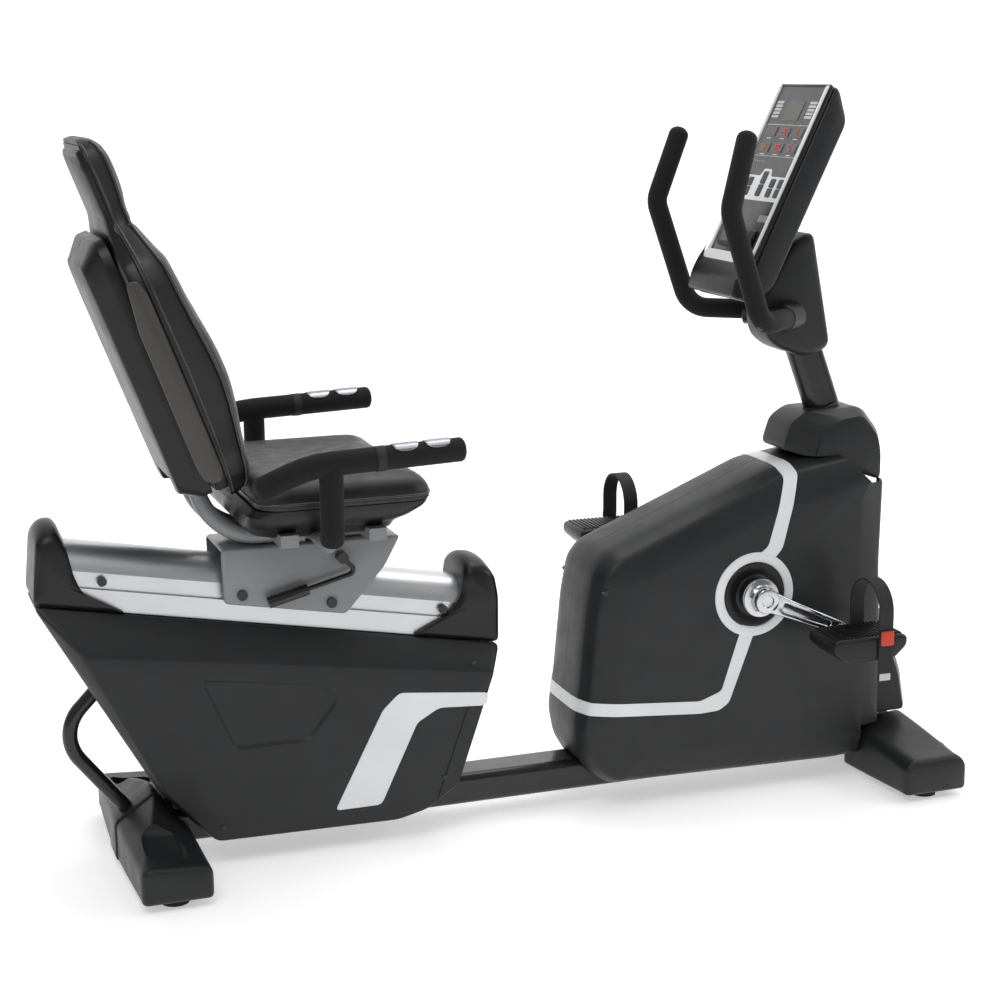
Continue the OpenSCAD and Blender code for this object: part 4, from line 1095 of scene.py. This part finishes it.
def crank_arm(s, side):
    put = on_arm(s)
    half = [(-6, 20), (20, 19.5), (60, 16.5), (165, 12.5), (178, 11)]
    arm = [(x, -z) for x, z in half] + [(183, 0)] + half[::-1]
    body = make("crank_arm_" + side, pillow(arm, -158, -144, 3.2, 7, (80, 0), put=put))
    channel = [(38, -9.5), (146, -6), (150, 0), (146, 6), (38, 9.5)]
    boolean(body, pillow(channel, -164, -155.6, 1.6, 6, (94, 0), put=put))
    turned = [
        (8, -130), (36, -130), (36, -138), (35, -140), (26, -141.5), (24, -144), (24, -163),
        (22.5, -165.5), (19, -166.3), (12, -166.3), (11, -164.5), (10.4, -163), (6, -162.6),
        (0.5, -162.6)]
    hub = make("crank_boss_" + side, lathe([(r, s * y) for r, y in turned], CRANK_XZ))
    turned = [(0.5, -158.6), (9, -158.6), (9, -160), (7, -161), (6, -163), (6, -262), (0.5, -262)]
    x, _, z = put(CRANK_ARM, 0, 0)
    pin = make("pedal_pin_" + side, lathe([(r, s * y) for r, y in turned], (x, z), 24))
    return [body, hub, pin]


def pedal_z(s):
    return CRANK.z - s * CRANK_ARM * math.sin(math.radians(CRANK_DROP))


def pedal(s, side):
    lo, hi = box_of("pedal_" + side)
    mid = (lo + hi) / 2
    x0, x1, y0, y1 = lo.x, hi.x, lo.y, hi.y
    z = pedal_z(s)
    profile = [(x0, z - 10), (x0 + 26, z - 33), (x1 - 26, z - 33), (x1, z - 10), (x1, z + 6),
               (x1 - 8, z + 11.5), (x0 + 8, z + 11.5), (x0, z + 6)]
    body = make("pedal_body_" + side, pillow(profile, y0, y1, 6, 9, (mid.x, z - 8)))
    for k in (-1, 1):
        x = mid.x + k * 36
        boolean(body, pillow(rect(x - 24, x + 24, z - 40, z - 27), y0 + 14, y1 - 14, 3, 4))
    ribs = []
    for i in range(-8, 9):
        x = mid.x + i * 8
        ribs.append(box_shape((x - 2.2, y0 + 9, z + 9), (x + 2.2, y1 - 9, z + 14), 1.2))
    return [body, make_all("pedal_tread_" + side, ribs)]


def strap_dress(s, side):
    """Buckle and free tip on the foot strap, each with its finish."""
    lo, hi = box_of("strap_" + side)
    x = (lo.x + hi.x) / 2
    y_out = lo.y if s > 0 else hi.y
    z = pedal_z(s)
    out = []
    for look, name, half, y_a, y_b, z0, z1, edge in (
            ("accent", "strap_buckle_", 13, -0.9, 5, z - 4, z + 23, 2.4),
            ("label", "strap_tip_", 12, 5.9, 9.6, lo.z - 1, lo.z + 13, 1.2)):
        y0, y1 = sorted((y_out + s * y_a, y_out + s * y_b))
        shape = box_shape((x - half, y0, z0), (x + half, y1, z1), edge)
        out.append((look, make(name + side, shape)))
    return out


def drive_pieces():
    for s, side in ((1, "right"), (-1, "left")):
        foot = side + "_pedal"
        for piece in crank_arm(s, side):
            place(piece, "crank", "chrome", "crank_arms")
        for piece in pedal(s, side):
            place(piece, foot, "black_plastic", "pedal_" + side)
        for look, piece in strap_dress(s, side):
            place(piece, foot, "rubber", look=look)


# ---------------------------------------------------------------- mast cover, carriage

COVER_WIDE = [(536, 650), (742, 580), (742, 640), (736, 674), (698, 722), (584, 720), (552, 700)]
COVER_SIDE = [(588, 634), (730, 584), (730, 636), (724, 668), (690, 712), (640, 706), (606, 682)]


def mast_pieces():
    wide, side = rounded(COVER_WIDE, 14), rounded(COVER_SIDE, 14)
    c = (650, 660)
    half = [at_y(shrink(side, 5, c), -73), at_y(shrink(side, 1.6, c), -71.6), at_y(side, -68.5),
            at_y(wide, -44), at_y(shrink(wide, -0.8, c), -36), at_y(wide, 0)]
    rings = half + [[(x, -y, z) for x, y, z in ring] for ring in reversed(half[:-1])]
    cover = make("mast_cover_shell", loft(rings))
    seam = [(500, 500), (800, 500), (800, 584.5), (691, 588.5), (640, 638.5), (572, 638.5),
            (500, 664)]
    boolean(cover, prism(seam, -140, 140))
    place(cover, "base", "shroud_grey", "mast_cover")
    c, s = 0.937, 0.35  # the collar is square to the leaning mast
    sleeve = make("mast_cover_collar", pillow(
        rect(-44, 44, -30, 30), 0, 12, 3, 26, (0, 0),
        put=lambda x, y, z: (628.5 + x * c - y * s, z, 708 + y * c + x * s)))
    place(sleeve, "base", "black_plastic", "mast_cover")


PLATE = [(-531, 558), (-528, 463), (-315, 425), (-243, 505), (-214, 558)]


def carriage_pieces():
    outer = make("seat_carriage_saddle", pillow(PLATE, -66, 66, 4.5, 9, (-390, 505)))
    inner = [(-560, 554), (-560, 380), (-180, 380), (-180, 554)]
    boolean(outer, prism(inner, -62, 62))
    place(outer, "seat", "carriage_silver", "seat_carriage")
    pin = centre_of("lock_pin")
    low = box_of("lock_pin")[0].z
    guide = make("plunger_guide", tube([(pin.x, 0, low + 6), (pin.x + 9, 0, 556)], 11, n=24))
    boolean(guide, tube([(pin.x - 3, 0, low - 20), (pin.x + 9, 0, 552)], 6.2, n=20))
    place(guide, "seat", "carriage_silver", "seat_carriage")


# ---------------------------------------------------------------- stage

def make_floor():
    """Pale sweep: flat floor that curves up into the backdrop."""
    side, bend, depth = 14.0, 2.5, 4.5
    line = [(-14.0, 0.0), (-3.0, 0.0), (depth - bend, 0.0)]
    line += [(depth - bend + bend * math.sin(a), bend - bend * math.cos(a)) for a in
             (math.radians(6 * k) for k in range(1, 16))]
    line.append((depth, 12.0))
    mesh = bpy.data.meshes.new("studio_floor")
    verts = [(x, y, z) for y, z in line for x in (-side, side)]
    faces = [(k, k + 1, k + 3, k + 2) for k in range(0, 2 * len(line) - 2, 2)]
    mesh.from_pydata(verts, [], faces)
    floor = add_object("studio_floor", mesh)
    for f in mesh.polygons:
        f.use_smooth = True
    floor.rotation_euler = (0, 0, -math.radians(CAMERA_YAW))
    m, n, l, s = new_material("pale_floor")
    base = mix_colour(n, l, noise(n, l, 3, 3), (0.86, 0.86, 0.865), (0.90, 0.90, 0.905))
    l.new(base, s.inputs["Base Color"])
    l.new(base, s.inputs["Emission Color"])
    fill(s, {"Emission Strength": 0.5, "Roughness": 0.9, "Specular IOR Level": 0.1})
    mesh.materials.append(m)


def make_light(name, at, target, size, power):
    data = bpy.data.lights.new(name, "AREA")
    data.energy = power
    data.size = size
    obj = add_object(name, data)
    obj.location = at
    direction = Vector(target) - Vector(at)
    obj.rotation_euler = direction.to_track_quat("-Z", "Y").to_euler()


def make_world():
    """Soft room: bright overhead, darker round the walls so that metal has something to mirror."""
    world = bpy.data.worlds.new("studio")
    world.use_nodes = True
    n, l = world.node_tree.nodes, world.node_tree.links
    back = n["Background"]
    coords = n.new("ShaderNodeTexCoord")
    split = n.new("ShaderNodeSeparateXYZ")
    l.new(coords.outputs["Generated"], split.inputs["Vector"])
    colours = n.new("ShaderNodeValToRGB")
    stops = ((0.0, 0.75), (0.42, 0.55), (0.56, 0.42), (0.70, 0.85), (1.0, 1.0))
    while len(colours.color_ramp.elements) < len(stops):
        colours.color_ramp.elements.new(0.5)
    for element, (at, value) in zip(colours.color_ramp.elements, stops):
        element.position = at
        element.color = (value, value, value, 1)
    scale = n.new("ShaderNodeMapRange")
    scale.inputs["From Min"].default_value = -1
    l.new(split.outputs["Z"], scale.inputs["Value"])
    l.new(scale.outputs["Result"], colours.inputs["Fac"])
    l.new(colours.outputs["Color"], back.inputs["Color"])
    back.inputs["Strength"].default_value = 0.42
    bpy.context.scene.world = world


CAMERA_AT = (-1.1615, -3.259, 1.346)
CAMERA_YAW, CAMERA_PITCH, CAMERA_ROLL = 19.5, 12.34, -0.44
CAMERA_LENS = 70.8


def make_camera():
    yaw, pitch, roll = (math.radians(a) for a in (CAMERA_YAW, CAMERA_PITCH, CAMERA_ROLL))
    level = math.cos(pitch)
    fwd = Vector((math.sin(yaw) * level, math.cos(yaw) * level, -math.sin(pitch)))
    right = Vector((math.cos(yaw), -math.sin(yaw), 0))
    up = right.cross(fwd)
    r = math.cos(roll) * right + math.sin(roll) * up
    u = -math.sin(roll) * right + math.cos(roll) * up
    data = bpy.data.cameras.new("camera")
    data.lens = CAMERA_LENS
    data.sensor_width = 36
    cam = add_object("camera", data)
    cam.matrix_world = Matrix((
        (r.x, u.x, -fwd.x, CAMERA_AT[0]),
        (r.y, u.y, -fwd.y, CAMERA_AT[1]),
        (r.z, u.z, -fwd.z, CAMERA_AT[2]),
        (0, 0, 0, 1)))
    bpy.context.scene.camera = cam


def build_stage():
    make_floor()
    make_world()
    make_camera()
    make_light("key", (-1.5, -2.2, 3.2), (0, 0, 0.5), 1.6, 34)
    make_light("top", (0.3, 0.2, 3.4), (0, 0, 0.4), 2.2, 22)
    make_light("front", (2.6, -1.2, 1.8), (0.4, 0, 0.6), 1.2, 14)
    make_light("backdrop_wash", (1.2, 0.9, 3.6), (1.4, 4.2, 0.8), 2.5, 45)
    bpy.context.scene.view_settings.view_transform = "Standard"


dress_cad_nodes()
shroud_pieces()
cap_pieces()
foot_pieces()
mast_pieces()
seat_pieces()
back_pieces()
console_pieces()
drive_pieces()
carriage_pieces()
build_stage()
